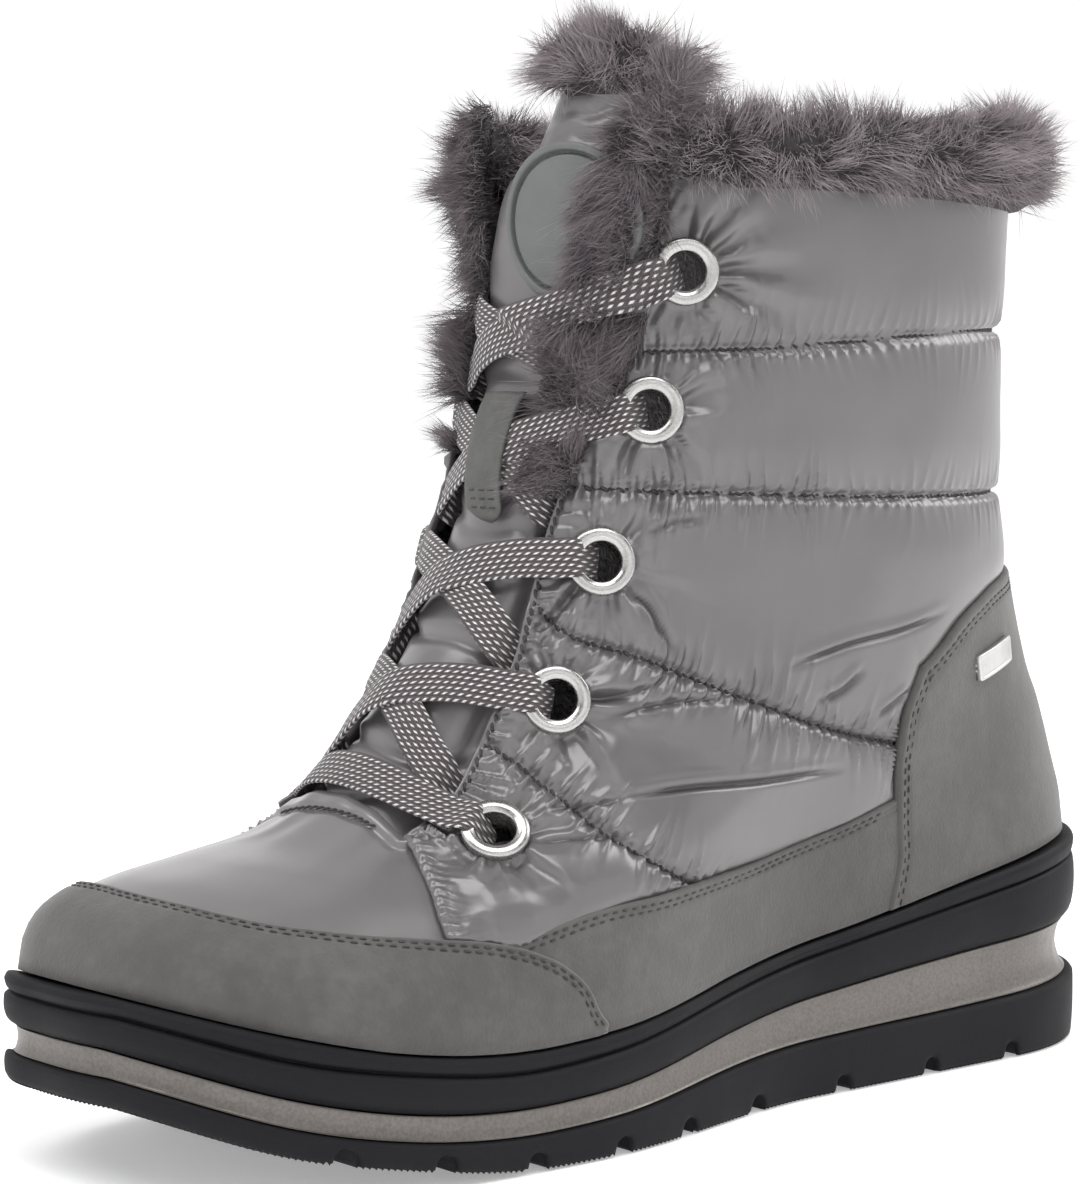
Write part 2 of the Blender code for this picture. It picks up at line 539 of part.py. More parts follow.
def build_tongue(nylon, rubber):
    """Padded tongue with its round rubber badge."""
    v = np.array(TONGUE_ROWS)[:, None]
    share = np.array([-s for s in reversed(TONGUE_SHARES)] + [0] + list(TONGUE_SHARES))[None, :]
    v, share = np.broadcast_arrays(v, share)
    piece("tongue", *shell(tongue_grid(v, share, 0 * v),
                           tongue_grid(v, share, TONGUE_WALL + 0 * v)), nylon)

    centre, across, up, out = badge_frame()
    turn = np.linspace(0, 2 * math.pi, BADGE_SIDES, endpoint=False)[:, None]
    rings = []
    for radius, height in BADGE_PROFILE:
        x, y = BADGE_RADIUS * radius * np.cos(turn), BADGE_RADIUS * radius * np.sin(turn)
        rings.append(centre + across * x + up * y
                     + out * (height * BADGE_THICK - x ** 2 / (2 * BADGE_BEND)))
    piece("tongue_badge", *tube(np.array(rings)), rubber)


def build_keeper(leather):
    """Small leather strap over a lace crossing, its two ends on the tongue."""
    share = np.linspace(0, 1, KEEPER_RINGS)
    v = KEEPER_TOP + share * (KEEPER_FOOT - KEEPER_TOP)
    lift = 2 * GAP + KEEPER_ARCH * np.sin(math.pi * share) ** .4
    half = KEEPER_WIDTH / 2 / FRONT_REACH
    lean = KEEPER_LEAN * share ** 3
    rings = []
    for k, height in enumerate(lift):
        corners = [(-1, 0), (1, 0), (1, 1), (-1, 1)]
        rings.append([tongue_face(v[k], lean[k] + half * side, -height - up * KEEPER_THICK)
                      for side, up in corners])
    piece("lace_keeper", *tube(np.array(rings)), leather)


# ---------------------------------------------------------------- eyelets and laces
def build_eyelets(steel):
    """Ten domed metal rings with a barrel through the wall, standing on the upper."""
    turn = np.linspace(0, 2 * math.pi, EYELET_SIDES, endpoint=False)[:, None]
    tail = -WALL - EYELET_TAIL
    profile = [(EYELET_BARREL, tail), (EYELET_BARREL, 0), (EYELET_OUTER, 0),
               (.5 * (EYELET_OUTER + EYELET_BORE), EYELET_DOME),
               (EYELET_BORE, .4 * EYELET_DOME), (EYELET_BORE, tail)]
    for side, word in ((1, "outer"), (-1, "inner")):
        for number, (share, degrees) in enumerate(EYELETS, 1):
            centre, axis = stand(share, side * math.radians(degrees))
            across, up = frame_of(axis)
            rim = np.cos(turn) * across + np.sin(turn) * up
            near = [slide(share, side * math.radians(degrees), EYELET_OUTER * r) for r in rim]
            high = max(float(np.dot(raised(v, a, 0.0) - centre, axis)) for v, a in near)
            seat = centre + axis * (2 * GAP + max(high, 0))
            rings = np.stack([seat + rim * r + axis * h for r, h in profile])
            count = len(turn)
            faces = [[i * count + j, i * count + (j + 1) % count,
                      (i + 1) % len(profile) * count + (j + 1) % count,
                      (i + 1) % len(profile) * count + j]
                     for i in range(len(profile)) for j in range(count)]
            piece(f"eyelet_{word}_{number}", rings.reshape(-1, 3), faces, steel)


def lace_height(v, a):
    """Underside of a lace: on the facing beside the throat, on the tongue's crown across it."""
    crown = tongue_height(v, np.clip(a, -.8 * throat(v), .8 * throat(v))) + LACE_LIFT + LACE_SLACK
    over = np.clip((throat(v) * 1.05 - np.abs(a)) / (.3 * throat(v)), 0, 1)
    gap = np.hypot((v - BADGE_V) * BADGE_SHARE, (a - BADGE_A) * BADGE_REACH)
    on = np.clip((BADGE_RADIUS + 7 * MM - gap) / (5 * MM), 0, 1)
    return np.maximum(np.maximum(LACE_LIFT, crown * over * over * (3 - 2 * over)),
                      BADGE_COVER * on * on * (3 - 2 * on))


def lace_strip(name, start, end, bow, trim, finish, count, rise=0.0):
    """Flat lace from one eyelet to another, cut back at each end and bowed over the instep; it
    may rise a little where it crosses the middle."""
    def course(t):
        v = start[0] + (end[0] - start[0]) * t + bow * np.sin(math.pi * t)
        return v, start[1] + (end[1] - start[1]) * t

    def stop(t, step, rule):
        while not rule(*course(t)):
            t += step
        return t

    def off_eyelet(v, a):
        gaps = [np.linalg.norm(raised(v, a, 0.0) - raised(e[0], e[1], 0.0)) for e in (start, end)]
        return min(gaps) > EYELET_OUTER + LACE_END

    def in_throat(v, a):
        return off_eyelet(v, a) and abs(a) < throat(v) - math.radians(2)

    first = stop(0, .004, off_eyelet)
    last = stop(1, -.004, in_throat if trim else off_eyelet)
    rings = []
    for t in np.linspace(first, last, count):
        v, a = course(t)
        ahead = raised(*course(t + .01), 0.0) - raised(*course(t - .01), 0.0)
        _, normal = stand(v, a)
        side = np.cross(normal, ahead)
        side *= LACE_WIDTH / 2 / np.linalg.norm(side)
        left, right = slide(v, a, -side), slide(v, a, side)
        low, high = (lace_height(*edge) + rise * np.exp(-(edge[1] / LACE_CROSSING) ** 2)
                     for edge in (left, right))
        rings.append([raised(*left, low), raised(*right, high),
                      raised(*right, high + LACE_THICK), raised(*left, low + LACE_THICK)])
    return piece(name, *tube(np.array(rings)), finish)


def build_laces(webbing):
    """Crossings joined in pairs, each one eyelet down; the lowest with the level bar under it."""
    holes = [(share, math.radians(degrees)) for share, degrees in EYELETS]
    for k, name in enumerate(("lace_crossing_1", "lace_crossing_2", "lace_crossing_3",
                              "lace_lowest")):
        (v1, a1), (v2, a2) = holes[k], holes[k + 1]
        bow, count = LACE_BOW[k], LACE_RINGS[k]
        crossing = lace_strip(name, (v1, a1), (v2, -a2), bow, True, webbing, count, LACE_RISE[k])
        other = lace_strip("cut_lace", (v1, -a1), (v2, a2), bow, True, webbing, count)
        cut(crossing, other, "UNION")
    v, a = holes[-1]
    cut(crossing, lace_strip("cut_bar", (v, a), (v, -a), LACE_BOW[-1], False, webbing,
                              BAR_RINGS), "UNION")


# ---------------------------------------------------------------- fur
def fur_roll(name, face, v, a, profile, finish):
    """Fur folded over an edge: a profile of (up, out) in mm carried along the edge of a face."""
    rings = []
    for ak in a:
        foot = face(v, ak)
        up = foot - face(v - .02, ak)
        up /= np.linalg.norm(up)
        out = np.cross(face(v, ak + .02) - face(v, ak - .02), up)
        out /= np.linalg.norm(out)
        rings.append([foot + (up * rise + out * reach) * MM for rise, reach in profile])
    piece(name, *tube(np.array(rings)), finish)


def build_fur(fur):
    """Fur cuffs folded over the collar and over the head of the tongue."""
    collar = [(.5, -5.0), (-8, -5.6), (-8, -9), (4, -12), (14, -9), (18.5, -1), (15, 8),
              (5, 12), (-6, 10.5), (-8, .9), (.5, .8)]
    start = float(throat(1.0)) + math.radians(2)
    a = np.linspace(start, 2 * math.pi - start, COLLAR_RINGS)
    fur_roll("fur_collar", lambda v, a: raised(v, a, 0.0), 1.0, a, collar, fur)

    head = [(.9, .9), (3.4, -2.6), (3.2, -4.2), (-1, -4.8), (-1, -8), (5, -11), (12, -5),
            (11, 3), (3, 7.5), (-4, 6.5), (-5, 3.5), (-3.5, 1.6)]
    low, high = math.radians(1 - TONGUE_INNER[-1]), math.radians(TONGUE_OUTER[-1] - 1)
    a = np.linspace(low, high, HEAD_RINGS)
    fur_roll("fur_tongue", tongue_face, TONGUE_HEAD, a, head, fur)


def main():
    for old in list(bpy.data.objects):
        bpy.data.objects.remove(old, do_unlink=True)
    rubber = material("black_rubber", (.018, .018, .02), .55)
    foam = material("black_midsole", (.02, .02, .022), .5)
    foil = material("taupe_wedge", (.21, .185, .165), .38, .6)
    felt = material("grey_felt", (.16, .15, .15), .95)
    nylon = material("grey_nylon", (.27, .255, .26), .35, .3)
    leather = material("grey_leather", (.19, .175, .165), .75)
    badge = material("grey_rubber", (.2, .205, .205), .55)
    steel = material("satin_steel", (.75, .74, .73), .28, 1.0)
    webbing = material("lace_webbing", (.09, .075, .075), .9)
    fur = material("taupe_fur", (.14, .115, .12), .95)
    build_sole(rubber, foam, foil)
    build_insole(felt)
    build_upper(nylon)
    build_rands(leather)
    build_plate(steel)
    build_tongue(nylon, badge)
    build_keeper(leather)
    build_eyelets(steel)
    build_laces(webbing)
    build_fur(fur)


main()
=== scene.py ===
"""Looks of a lined winter ankle boot for the left foot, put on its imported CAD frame.

Metres, +Z up, toe to -Y, outer side of the foot to +X, the ground at Z = 0.  Sections follow the
boot as it is put together, from the outsole up to the fur, and end with floor, light and camera.
"""

import bmesh
import bpy
import numpy as np
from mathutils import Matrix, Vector


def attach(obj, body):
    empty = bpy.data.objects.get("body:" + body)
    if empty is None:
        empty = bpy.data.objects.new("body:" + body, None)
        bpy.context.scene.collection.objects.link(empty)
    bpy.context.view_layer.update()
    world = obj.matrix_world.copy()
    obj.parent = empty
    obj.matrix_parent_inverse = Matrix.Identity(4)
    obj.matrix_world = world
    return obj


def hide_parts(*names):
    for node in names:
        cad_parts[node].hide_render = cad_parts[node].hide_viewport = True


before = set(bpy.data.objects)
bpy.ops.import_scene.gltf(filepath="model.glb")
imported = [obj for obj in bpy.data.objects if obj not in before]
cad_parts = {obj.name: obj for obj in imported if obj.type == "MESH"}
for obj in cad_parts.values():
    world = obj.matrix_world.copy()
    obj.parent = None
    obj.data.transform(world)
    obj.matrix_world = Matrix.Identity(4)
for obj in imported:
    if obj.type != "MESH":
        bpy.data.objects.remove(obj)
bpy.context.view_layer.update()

# ---------------------------------------------------------------- outsole
# Black rubber pressed in one mould: nine gaps along each side part the lugs, the running edge
# is cut into fine teeth, and a thin lip stands out where the wedge is cemented on.
MM = 0.001
BAND_STATION = (-137, -115, -90, -65, -40, 0, 40, 80, 115, 137)
BANDS = {
    # heights of the sole's lines above the ground at those stations along the foot, mm
    "tread": (17, 9.0, 4.0, 0.5, 0, 0, 0, 0, 0, 0),
    "outsole_top": (22.5, 14.7, 9.6, 7.3, 7.8, 11.0, 12.8, 13.8, 15.5, 17),
    "midsole_base": (28.3, 20.6, 15.2, 12.9, 13.8, 18.8, 23.3, 26.6, 28.8, 30),
    "groove": (35.2, 28.0, 23.2, 20.5, 21.8, 27.6, 33.2, 38.6, 43.5, 46),
    "midsole_top": (38.8, 32.4, 26.8, 24.4, 25.4, 30.8, 36.3, 42.6, 48.2, 50.5),
}
SOLE = {
    # plan of the sole: ends, sideways bend of the toe and half widths in mm, then shares
    "front": -141, "back": 135.5, "nose": -14, "ball_l": 51, "ball_m": 47.5, "waist_l": 37.5,
    "waist_m": 34.5, "heel_l": 36.5, "heel_m": 34.5,
    "cap_f": .31, "cap_b": .16, "round_f": 2.7, "round_b": 2.2,
}
SHARES = ("cap_f", "cap_b", "round_f", "round_b")       # the entries that aren't lengths
BALL_L_SHARE, BALL_M_SHARE, WAIST_SHARE, HEEL_SHARE = 0.34, 0.27, 0.62, 0.86
NOTCHES = (-105, -84, -62, -39, -17.5, 8, 36.5, 65, 92)
NOTCH_WIDTH, NOTCH_HEIGHT = 5.0, 4.0
TOOTH_DEPTH = .85
OUTSOLE_PROFILE = (
    # share of the way from tread to top, lift in mm, inset in mm
    (0, 0, 2.6), (0, 0, 1.1), (0, .35, .7), (0, 1.0, .35), (.3, 0, .1), (.6, 0, 0), (1, -1.4, .05),
    (1, -.7, .2), (1, -.25, .5), (1, 0, 1.0), (1, 0, 3.0),
)
TREAD_SHARES = (.93, .66, .645, .56, .545, .3, 0)       # rows under the sole, edge to middle
CHANNEL, CHANNEL_DEPTH = (.645, .56), 2.5               # between these runs a lengthwise groove
LID_SHARES = (.8, .4, 0)                                # rows on top of a layer, edge to middle


def through(xs, ys, x):
    """Smooth curve through the points (xs, ys): cubic pieces with the neighbours' mean slope."""
    xs, ys, x = (np.asarray(k, float) for k in (xs, ys, x))
    step = np.diff(xs)
    rise = np.diff(ys) / step
    slope = np.empty(len(xs))
    slope[0], slope[-1] = rise[0], rise[-1]
    slope[1:-1] = (rise[:-1] * step[1:] + rise[1:] * step[:-1]) / (step[:-1] + step[1:])
    i = np.clip(np.searchsorted(xs, x) - 1, 0, len(xs) - 2)
    t = np.clip((x - xs[i]) / step[i], 0, 1)
    return ((1 + 2 * t) * (1 - t) ** 2 * ys[i] + t * (1 - t) ** 2 * step[i] * slope[i]
            + t * t * (3 - 2 * t) * ys[i + 1] - t * t * (1 - t) * step[i] * slope[i + 1])


def eased(low, high, x):
    """0 below low, 1 above high, and the S-shaped 3t^2 - 2t^3 of the share t between them."""
    t = np.clip((x - low) / (high - low), 0, 1)
    return t * t * (3 - 2 * t)


def band(name, y):
    """Height of one of the sole's lines at the station y, never below the ground."""
    return np.maximum(through(np.array(BAND_STATION) * MM, np.array(BANDS[name]) * MM, y), 0)


def outline(c, a):
    """Plan curve of a foot at the angle a: y runs as (1 - cos a)/2 from front to back, x is the
    half width there, eased from ball to waist to heel and rounded off as (1 - t^n)^(1/n)."""
    share = (1 - np.cos(a)) / 2

    def cap(distance, reach, power):
        t = np.clip(1 - distance / reach, 0, 1)
        return (1 - t ** power) ** (1 / power)

    def width(ball, waist, heel, ball_share):
        to_waist = (waist - ball) * eased(ball_share, WAIST_SHARE, share)
        return ball + to_waist + (heel - waist) * eased(WAIST_SHARE, HEEL_SHARE, share)

    body = cap(share, c["cap_f"], c["round_f"]) * cap(1 - share, c["cap_b"], c["round_b"])
    outer = width(c["ball_l"], c["waist_l"], c["heel_l"], BALL_L_SHARE)
    inner = width(c["ball_m"], c["waist_m"], c["heel_m"], BALL_M_SHARE)
    middle = c["nose"] * (1 - np.clip(share / 0.45, 0, 1)) ** 2
    x = np.where(np.sin(a) >= 0, middle + (outer - middle) * body, middle - (inner + middle) * body)
    return x, c["front"] + (c["back"] - c["front"]) * share


def sole_edge(a, inset):
    """Plan curve of the sole at the angle a, drawn in by inset millimetres all round."""
    c = {key: value if key in SHARES else value * MM for key, value in SOLE.items()}
    for key in ("ball_l", "ball_m", "waist_l", "waist_m", "heel_l", "heel_m", "back"):
        c[key] = c[key] - inset * MM
    c["front"] = c["front"] + inset * MM
    return outline(c, a)


def even_angles(count):
    """Angles round the sole, mirrored about its middle line and evenly spaced along its edge."""
    a = np.linspace(0, np.pi, 2000)
    x, y = sole_edge(a, 0)
    run = np.append(0, np.cumsum(np.hypot(np.diff(x), np.diff(y))))
    half = np.interp(np.linspace(0, run[-1], count // 2 + 1), run, a)
    return np.concatenate([half, -half[-2:0:-1]])


def profile_rows(profile, count):
    """Profile with more rows: each of its columns as a smooth curve of the row's number."""
    table = np.array(profile, float)
    at = np.linspace(0, len(table) - 1, count)
    return [through(np.arange(len(table)), column, at)[:, None] for column in table.T]


def quads(rows, columns, wrap=False):
    """Corner numbers of a grid's cells: along the row, then up to the next one."""
    i = np.arange(rows - 1)[:, None] * columns
    j = np.arange(columns if wrap else columns - 1)[None, :]
    k = (j + 1) % columns
    return np.stack([i + j, i + k, i + columns + k, i + columns + j], -1).reshape(-1, 4)


def piece(name, points, faces, finish, stands_for=(), uv=None, closed=True):
    """Smooth mesh from arrays of points and of faces with three or four corners, riding on the
    boot.  A closed one has its doubles merged and its faces turned outwards."""
    corners = faces.shape[-1]
    faces = np.asarray(faces, np.int32).reshape(-1, corners)
    mesh = bpy.data.meshes.new(name)
    mesh.vertices.add(points.size // 3)
    mesh.vertices.foreach_set("co", np.asarray(points, np.float32).ravel())
    mesh.loops.add(faces.size)
    mesh.loops.foreach_set("vertex_index", faces.ravel())
    mesh.polygons.add(len(faces))
    mesh.polygons.foreach_set("loop_start", np.arange(0, faces.size, corners, dtype=np.int32))
    mesh.update(calc_edges=True)
    if uv is not None:
        layer = mesh.uv_layers.new(name="UVMap")
        spread = np.asarray(uv, np.float32).reshape(-1, 2)[faces.ravel()]
        layer.uv.foreach_set("vector", spread.ravel())
    if closed:
        work = bmesh.new()
        work.from_mesh(mesh)
        bmesh.ops.remove_doubles(work, verts=work.verts, dist=2e-6)
        bmesh.ops.recalc_face_normals(work, faces=work.faces)
        work.to_mesh(mesh)
        work.free()
    mesh.materials.append(finish)
    mesh.shade_smooth()
    made = bpy.data.objects.new(name, mesh)
    bpy.context.scene.collection.objects.link(made)
    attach(made, "root")
    if stands_for:
        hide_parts(*stands_for)
    return made


def rings(grid):
    """Cells of a grid whose rows are closed rings."""
    return quads(*grid.shape[:2], wrap=True)


def sole_layer(a, rows, lines, shares_under):
    """Closed layer of the sole in three grids: from the middle line under it out to its edge, up
    the profile, and back to the middle line on top.  Each whole share leads from one of the named
    lines to the next: height = line + share * (next line - line) + lift."""
    share, lift, inset = rows
    x, y = sole_edge(a[None, :], inset)
    heights = [band(name, y) for name in lines]
    z = heights[0]
    for k in range(len(lines) - 1):
        low, high = 0 if k else -1, 1 if k < len(lines) - 2 else 2
        z = z + np.clip(share - k, low, high) * (heights[k + 1] - heights[k])
    z = z + lift * MM
    middle = (x + sole_edge(-a[None, :], inset)[0]) / 2
    flat = []
    for row, shares in ((0, shares_under[::-1]), (-1, LID_SHARES)):
        k = np.array(shares)[:, None]
        flat.append(np.stack([middle[row] + (x[row] - middle[row]) * k, y[row] + 0 * k,
                              z[row] + 0 * k], -1))
    return flat[0], np.stack([x, y, z], -1), flat[1]


def node(tree, kind, inputs=None, **settings):
    """Shader node with its settings, its inputs filled with values or linked to sockets."""
    made = tree.nodes.new("ShaderNode" + kind)
    for key, value in settings.items():
        setattr(made, key, value)
    for key, value in (inputs or {}).items():
        if isinstance(value, bpy.types.NodeSocket):
            tree.links.new(value, made.inputs[key])
        else:
            made.inputs[key].default_value = value
    return made


def finish_of(name, roughness, **sockets):
    """Material with a Principled shader: its tree, its shader and its object coordinates."""
    made = bpy.data.materials.new(name)
    made.use_nodes = True
    tree = made.node_tree
    shader = tree.nodes["Principled BSDF"]
    shader.inputs["Roughness"].default_value = roughness
    for key, value in sockets.items():
        shader.inputs[key.replace("_", " ")].default_value = value
    return made, tree, shader, node(tree, "TexCoord").outputs["Object"]


def noise(tree, where, scale, detail=3.0, roughness=.5, distortion=0.0):
    """Cloudy pattern between 0 and 1 with about scale waves in a metre."""
    made = node(tree, "TexNoise", {"Vector": where, "Scale": scale, "Detail": detail,
                                   "Roughness": roughness, "Distortion": distortion})
    return made.outputs["Fac"]


def ramp(tree, factor, *stops):
    """Colour that follows a factor through the stops (place, colour)."""
    made = node(tree, "ValToRGB", {"Fac": factor})
    elements = made.color_ramp.elements
    while len(elements) < len(stops):
        elements.new(.5)
    for element, (place, colour) in zip(elements, stops):
        element.position = place
        element.color = (*colour, 1)
    return made.outputs["Color"]


def levels(tree, factor, low, high, new_low, new_high):
    """Factor stretched from low..high to new_low..new_high and held between them."""
    made = node(tree, "MapRange", {"Value": factor, "From Min": low, "From Max": high,
                                   "To Min": new_low, "To Max": new_high})
    return made.outputs["Result"]


def bump(tree, height, distance, strength=1.0, over=None):
    """Normal of a surface raised by height times distance, on top of another such normal."""
    inputs = {"Height": height, "Distance": distance, "Strength": strength}
    if over is not None:
        inputs["Normal"] = over
    return node(tree, "Bump", inputs).outputs["Normal"]


def dress(shader, colour, roughness=None, normal=None):
    """Links to a shader's colour, roughness and normal, as far as they are given."""
    for key, value in (("Base Color", colour), ("Roughness", roughness), ("Normal", normal)):
        if value is not None:
            shader.id_data.links.new(value, shader.inputs[key])


def shaded(colour, factor):
    """Colour made lighter or darker by a factor."""
    return tuple(factor * k for k in colour)


def rubber_finish(name, colour, roughness, grain):
    """Moulded rubber: even dark colour, slightly cloudy, with a fine dull grain."""
    made, tree, shader, where = finish_of(name, roughness, Specular_IOR_Level=.2)
    cloud = noise(tree, where, 60, 4)
    fine = bump(tree, noise(tree, where, grain, 2), .00006)
    dress(shader, ramp(tree, cloud, (.3, colour), (.75, shaded(colour, 1.5))),
          levels(tree, cloud, .3, .7, roughness - .06, roughness + .08),
          bump(tree, cloud, .0004, .5, fine))
    return made


def notch(y):
    """Height of the gap between two lugs at the station y: upright sides under a round arch."""
    gap = np.abs(y[..., None] / MM - np.array(NOTCHES)).min(-1) / (NOTCH_WIDTH / 2)
    return np.where(gap < 1, NOTCH_HEIGHT * (.5 + .5 * np.sqrt(np.clip(1 - gap ** 2, 0, 1))), 0) * MM


around = even_angles(1000)
teeth = (np.arange(len(around)) % 2) * TOOTH_DEPTH * MM
below, side, above = sole_layer(around, profile_rows(OUTSOLE_PROFILE, 20), ("tread", "outsole_top"),
                                TREAD_SHARES)
ground = band("tread", side[..., 1])
low = eased(1.6, .5, (side[..., 2] - ground) / MM)
cutting = ground + np.maximum(notch(side[..., 1]), teeth * low)
side[..., 2] = np.maximum(side[..., 2], cutting)
k = np.array(TREAD_SHARES)[::-1, None]
open_channel = ((k < CHANNEL[0] - .001) & (k > CHANNEL[1] - .001)) * CHANNEL_DEPTH * MM
ribs = teeth * (k > .9)
below[..., 2] = band("tread", below[..., 1]) + np.maximum(notch(below[..., 1]), open_channel + ribs)
rubber = rubber_finish("black_rubber", (.006, .006, .0075), .62, 2600)
grid = np.concatenate([below, side, above])
piece("outsole_body", grid, rings(grid), rubber, ["outsole"])

# ---------------------------------------------------------------- wedge
# A shaped filler between outsole and midsole, sprayed in taupe metallic paint.  It stands back
# from both, hollowed a little more round the heel.
WEDGE_PROFILE = (
    (0, .3, 5.0), (0, .3, 1.9), (.12, 0, 2.2), (.5, 0, 2.7), (.88, 0, 2.5), (1, -.3, 2.5), (1, -.3, 6.0),
)
HEEL_HOLLOW = 1.3

angles = even_angles(400)
share, lift, inset = profile_rows(WEDGE_PROFILE, 19)
belly = 4 * share * (1 - share)
inset = inset + HEEL_HOLLOW * belly * eased(.7, 1, (1 - np.cos(angles)) / 2)
grid = np.concatenate(sole_layer(angles, (share, lift, inset), ("outsole_top", "midsole_base"),
                                 LID_SHARES))
foil, tree, shader, where = finish_of("taupe_metallic_paint", .42, Metallic=.55)
specks = noise(tree, where, 1500, 2)
streaks = noise(tree, node(tree, "Mapping", {"Vector": where, "Scale": (1, 1, .25)}).outputs[0], 220, 5)
dress(shader, ramp(tree, specks, (.35, (.138, .125, .115)), (.62, (.178, .163, .151))),
      levels(tree, streaks, .3, .7, .30, .46),
      bump(tree, streaks, .00015, .6, bump(tree, specks, .00004)))
piece("wedge_body", grid, rings(grid), foil, ["wedge"])

# ---------------------------------------------------------------- midsole
# Black foam-rubber frame: a full rounded band over the wedge, an undercut line, and a narrow
# rim strip on top that the lasted upper is cemented into.
MIDSOLE_PROFILE = (
    # 0 to 1 runs from base to groove and 1 to 2 on to the top; then lift and inset in mm
    (0, .1, 5.5), (0, 0, 3.0), (.04, 0, 1.7), (.15, 0, .7), (.35, 0, .15), (.55, 0, 0), (.8, 0, .1),
    (1, -.9, .45), (1, -.45, .9), (1, -.15, 1.6), (1, .15, 1.6), (1, .4, .9), (1, .9, .45),
    (1.5, .2, .2), (2, -1.3, .25), (2, -.55, .6), (2, -.12, 1.2), (2, 0, 2.2), (2, 0, 5.0),
)

share, lift, inset = profile_rows(MIDSOLE_PROFILE, 34)
grid = np.concatenate(sole_layer(angles, (np.clip(share, 0, 2), lift, inset),
                                 ("midsole_base", "groove", "midsole_top"), LID_SHARES))
foam = rubber_finish("black_midsole", (.0055, .0055, .007), .6, 1800)
piece("midsole_body", grid, rings(grid), foam, ["midsole"])

# ---------------------------------------------------------------- vamp
# One smooth panel of satin nylon over the toes, pulled over the last.  Its top edge is turned
# down into a stitched band across the foot of the throat, and its sides go under the quarters.
UPPER_COLUMNS = (
    "z_front", "z_back", "follow", "front", "back", "nose", "cap_f", "cap_b", "ball_l", "ball_m",
    "waist_l", "waist_m", "heel_l", "heel_m", "round_f", "round_b",
)
UPPER_ROWS = (
    # height at toe and heel, share of the sole's rise, then the outline; one row for each height
    (39.2, 50.9, 1.0, -136.5, 131.0, -13, .31, .16, 48.5, 45.0, 35.5, 32.0, 33.0, 31.5, 2.7, 2.2),
    (47.0, 60.0, 1.0, -134.5, 130.0, -13, .31, .17, 49.5, 45.5, 36.0, 32.5, 33.0, 31.5, 2.7, 2.2),
    (52.5, 68.0, 0.9, -129.5, 128.0, -12, .34, .18, 48.5, 45.0, 36.5, 33.5, 32.5, 31.5, 2.6, 2.2),
    (57.0, 75.0, 0.8, -118.5, 126.0, -11, .40, .20, 47.5, 43.5, 37.5, 35.0, 32.5, 31.5, 2.4, 2.2),
    (60.0, 82.0, 0.7, -104.0, 123.0, -9, .45, .22, 46.0, 42.5, 38.0, 36.0, 33.0, 32.0, 2.3, 2.2),
    (63.2, 89.0, 0.6, -89.0, 120.5, -7, .48, .25, 44.5, 41.0, 38.5, 37.0, 33.5, 32.5, 2.2, 2.1),
    (69.4, 96.0, 0.5, -76.0, 117.8, -5, .49, .28, 43.0, 40.0, 39.0, 37.5, 34.5, 33.5, 2.15, 2.1),
    (78.9, 103., 0.4, -66.5, 115.5, -4, .50, .32, 41.5, 39.5, 39.5, 38.5, 36.0, 35.0, 2.1, 2.1),
    (91.5, 111., 0.3, -57.5, 113.0, -2, .50, .36, 40.5, 39.0, 40.0, 39.0, 37.5, 36.5, 2.15, 2.1),
    (104., 120., 0.2, -49.5, 110.3, 0, .50, .40, 40.0, 39.0, 40.5, 39.5, 39.0, 38.0, 2.2, 2.1),
    (119., 131., 0.1, -41.5, 108.0, 0, .50, .44, 40.0, 39.5, 41.0, 40.5, 40.5, 39.5, 2.3, 2.15),
    (138., 144., 0.0, -33.0, 106.5, 0, .50, .47, 40.5, 40.0, 41.5, 41.0, 41.0, 40.5, 2.4, 2.2),
    (157., 160., 0.0, -26.5, 105.0, 0, .50, .49, 41.0, 41.0, 42.0, 42.0, 41.5, 41.5, 2.5, 2.3),
    (179., 180., 0.0, -22.0, 105.0, 0, .50, .50, 42.0, 42.0, 42.5, 42.5, 42.5, 42.5, 2.6, 2.3),
    (200., 200., 0.0, -20.0, 106.0, 0, .50, .50, 43.0, 43.0, 43.0, 43.0, 43.0, 43.0, 2.6, 2.3),
)
FORM_SHARES = SHARES + ("follow",)
TONGUE_RISE = 180 * MM                  # height of one whole share v above the collar
THROAT_V = (.385, .46, .54, .62, .685, .75, .82, .93, 1.0)
THROAT_DEG = (27, 29.6, 28.9, 26.9, 23.9, 21.5, 22.5, 27, 29)
THROAT_BASE, THROAT_BOW = .385, .065
VAMP_V, VAMP_DEG = (.05, .12, .187, .270, .356, .385), (58, 54.5, 49.3, 42.2, 31.5, 27)
HIDDEN_V = .10                          # the panels end under the rands
BAND_WIDTH, BAND_NARROW, BAND_LIFT = 5.2, 2.8, .9    # turned band at the foot of the throat, mm
VAMP_TUCK, VAMP_WAVE, VAMP_PULL = .55, .25, .35      # how far its sides go down under the quarters,
#                                       its slow waves and its pulls towards the band, mm
NYLON = (.160, .151, .155)


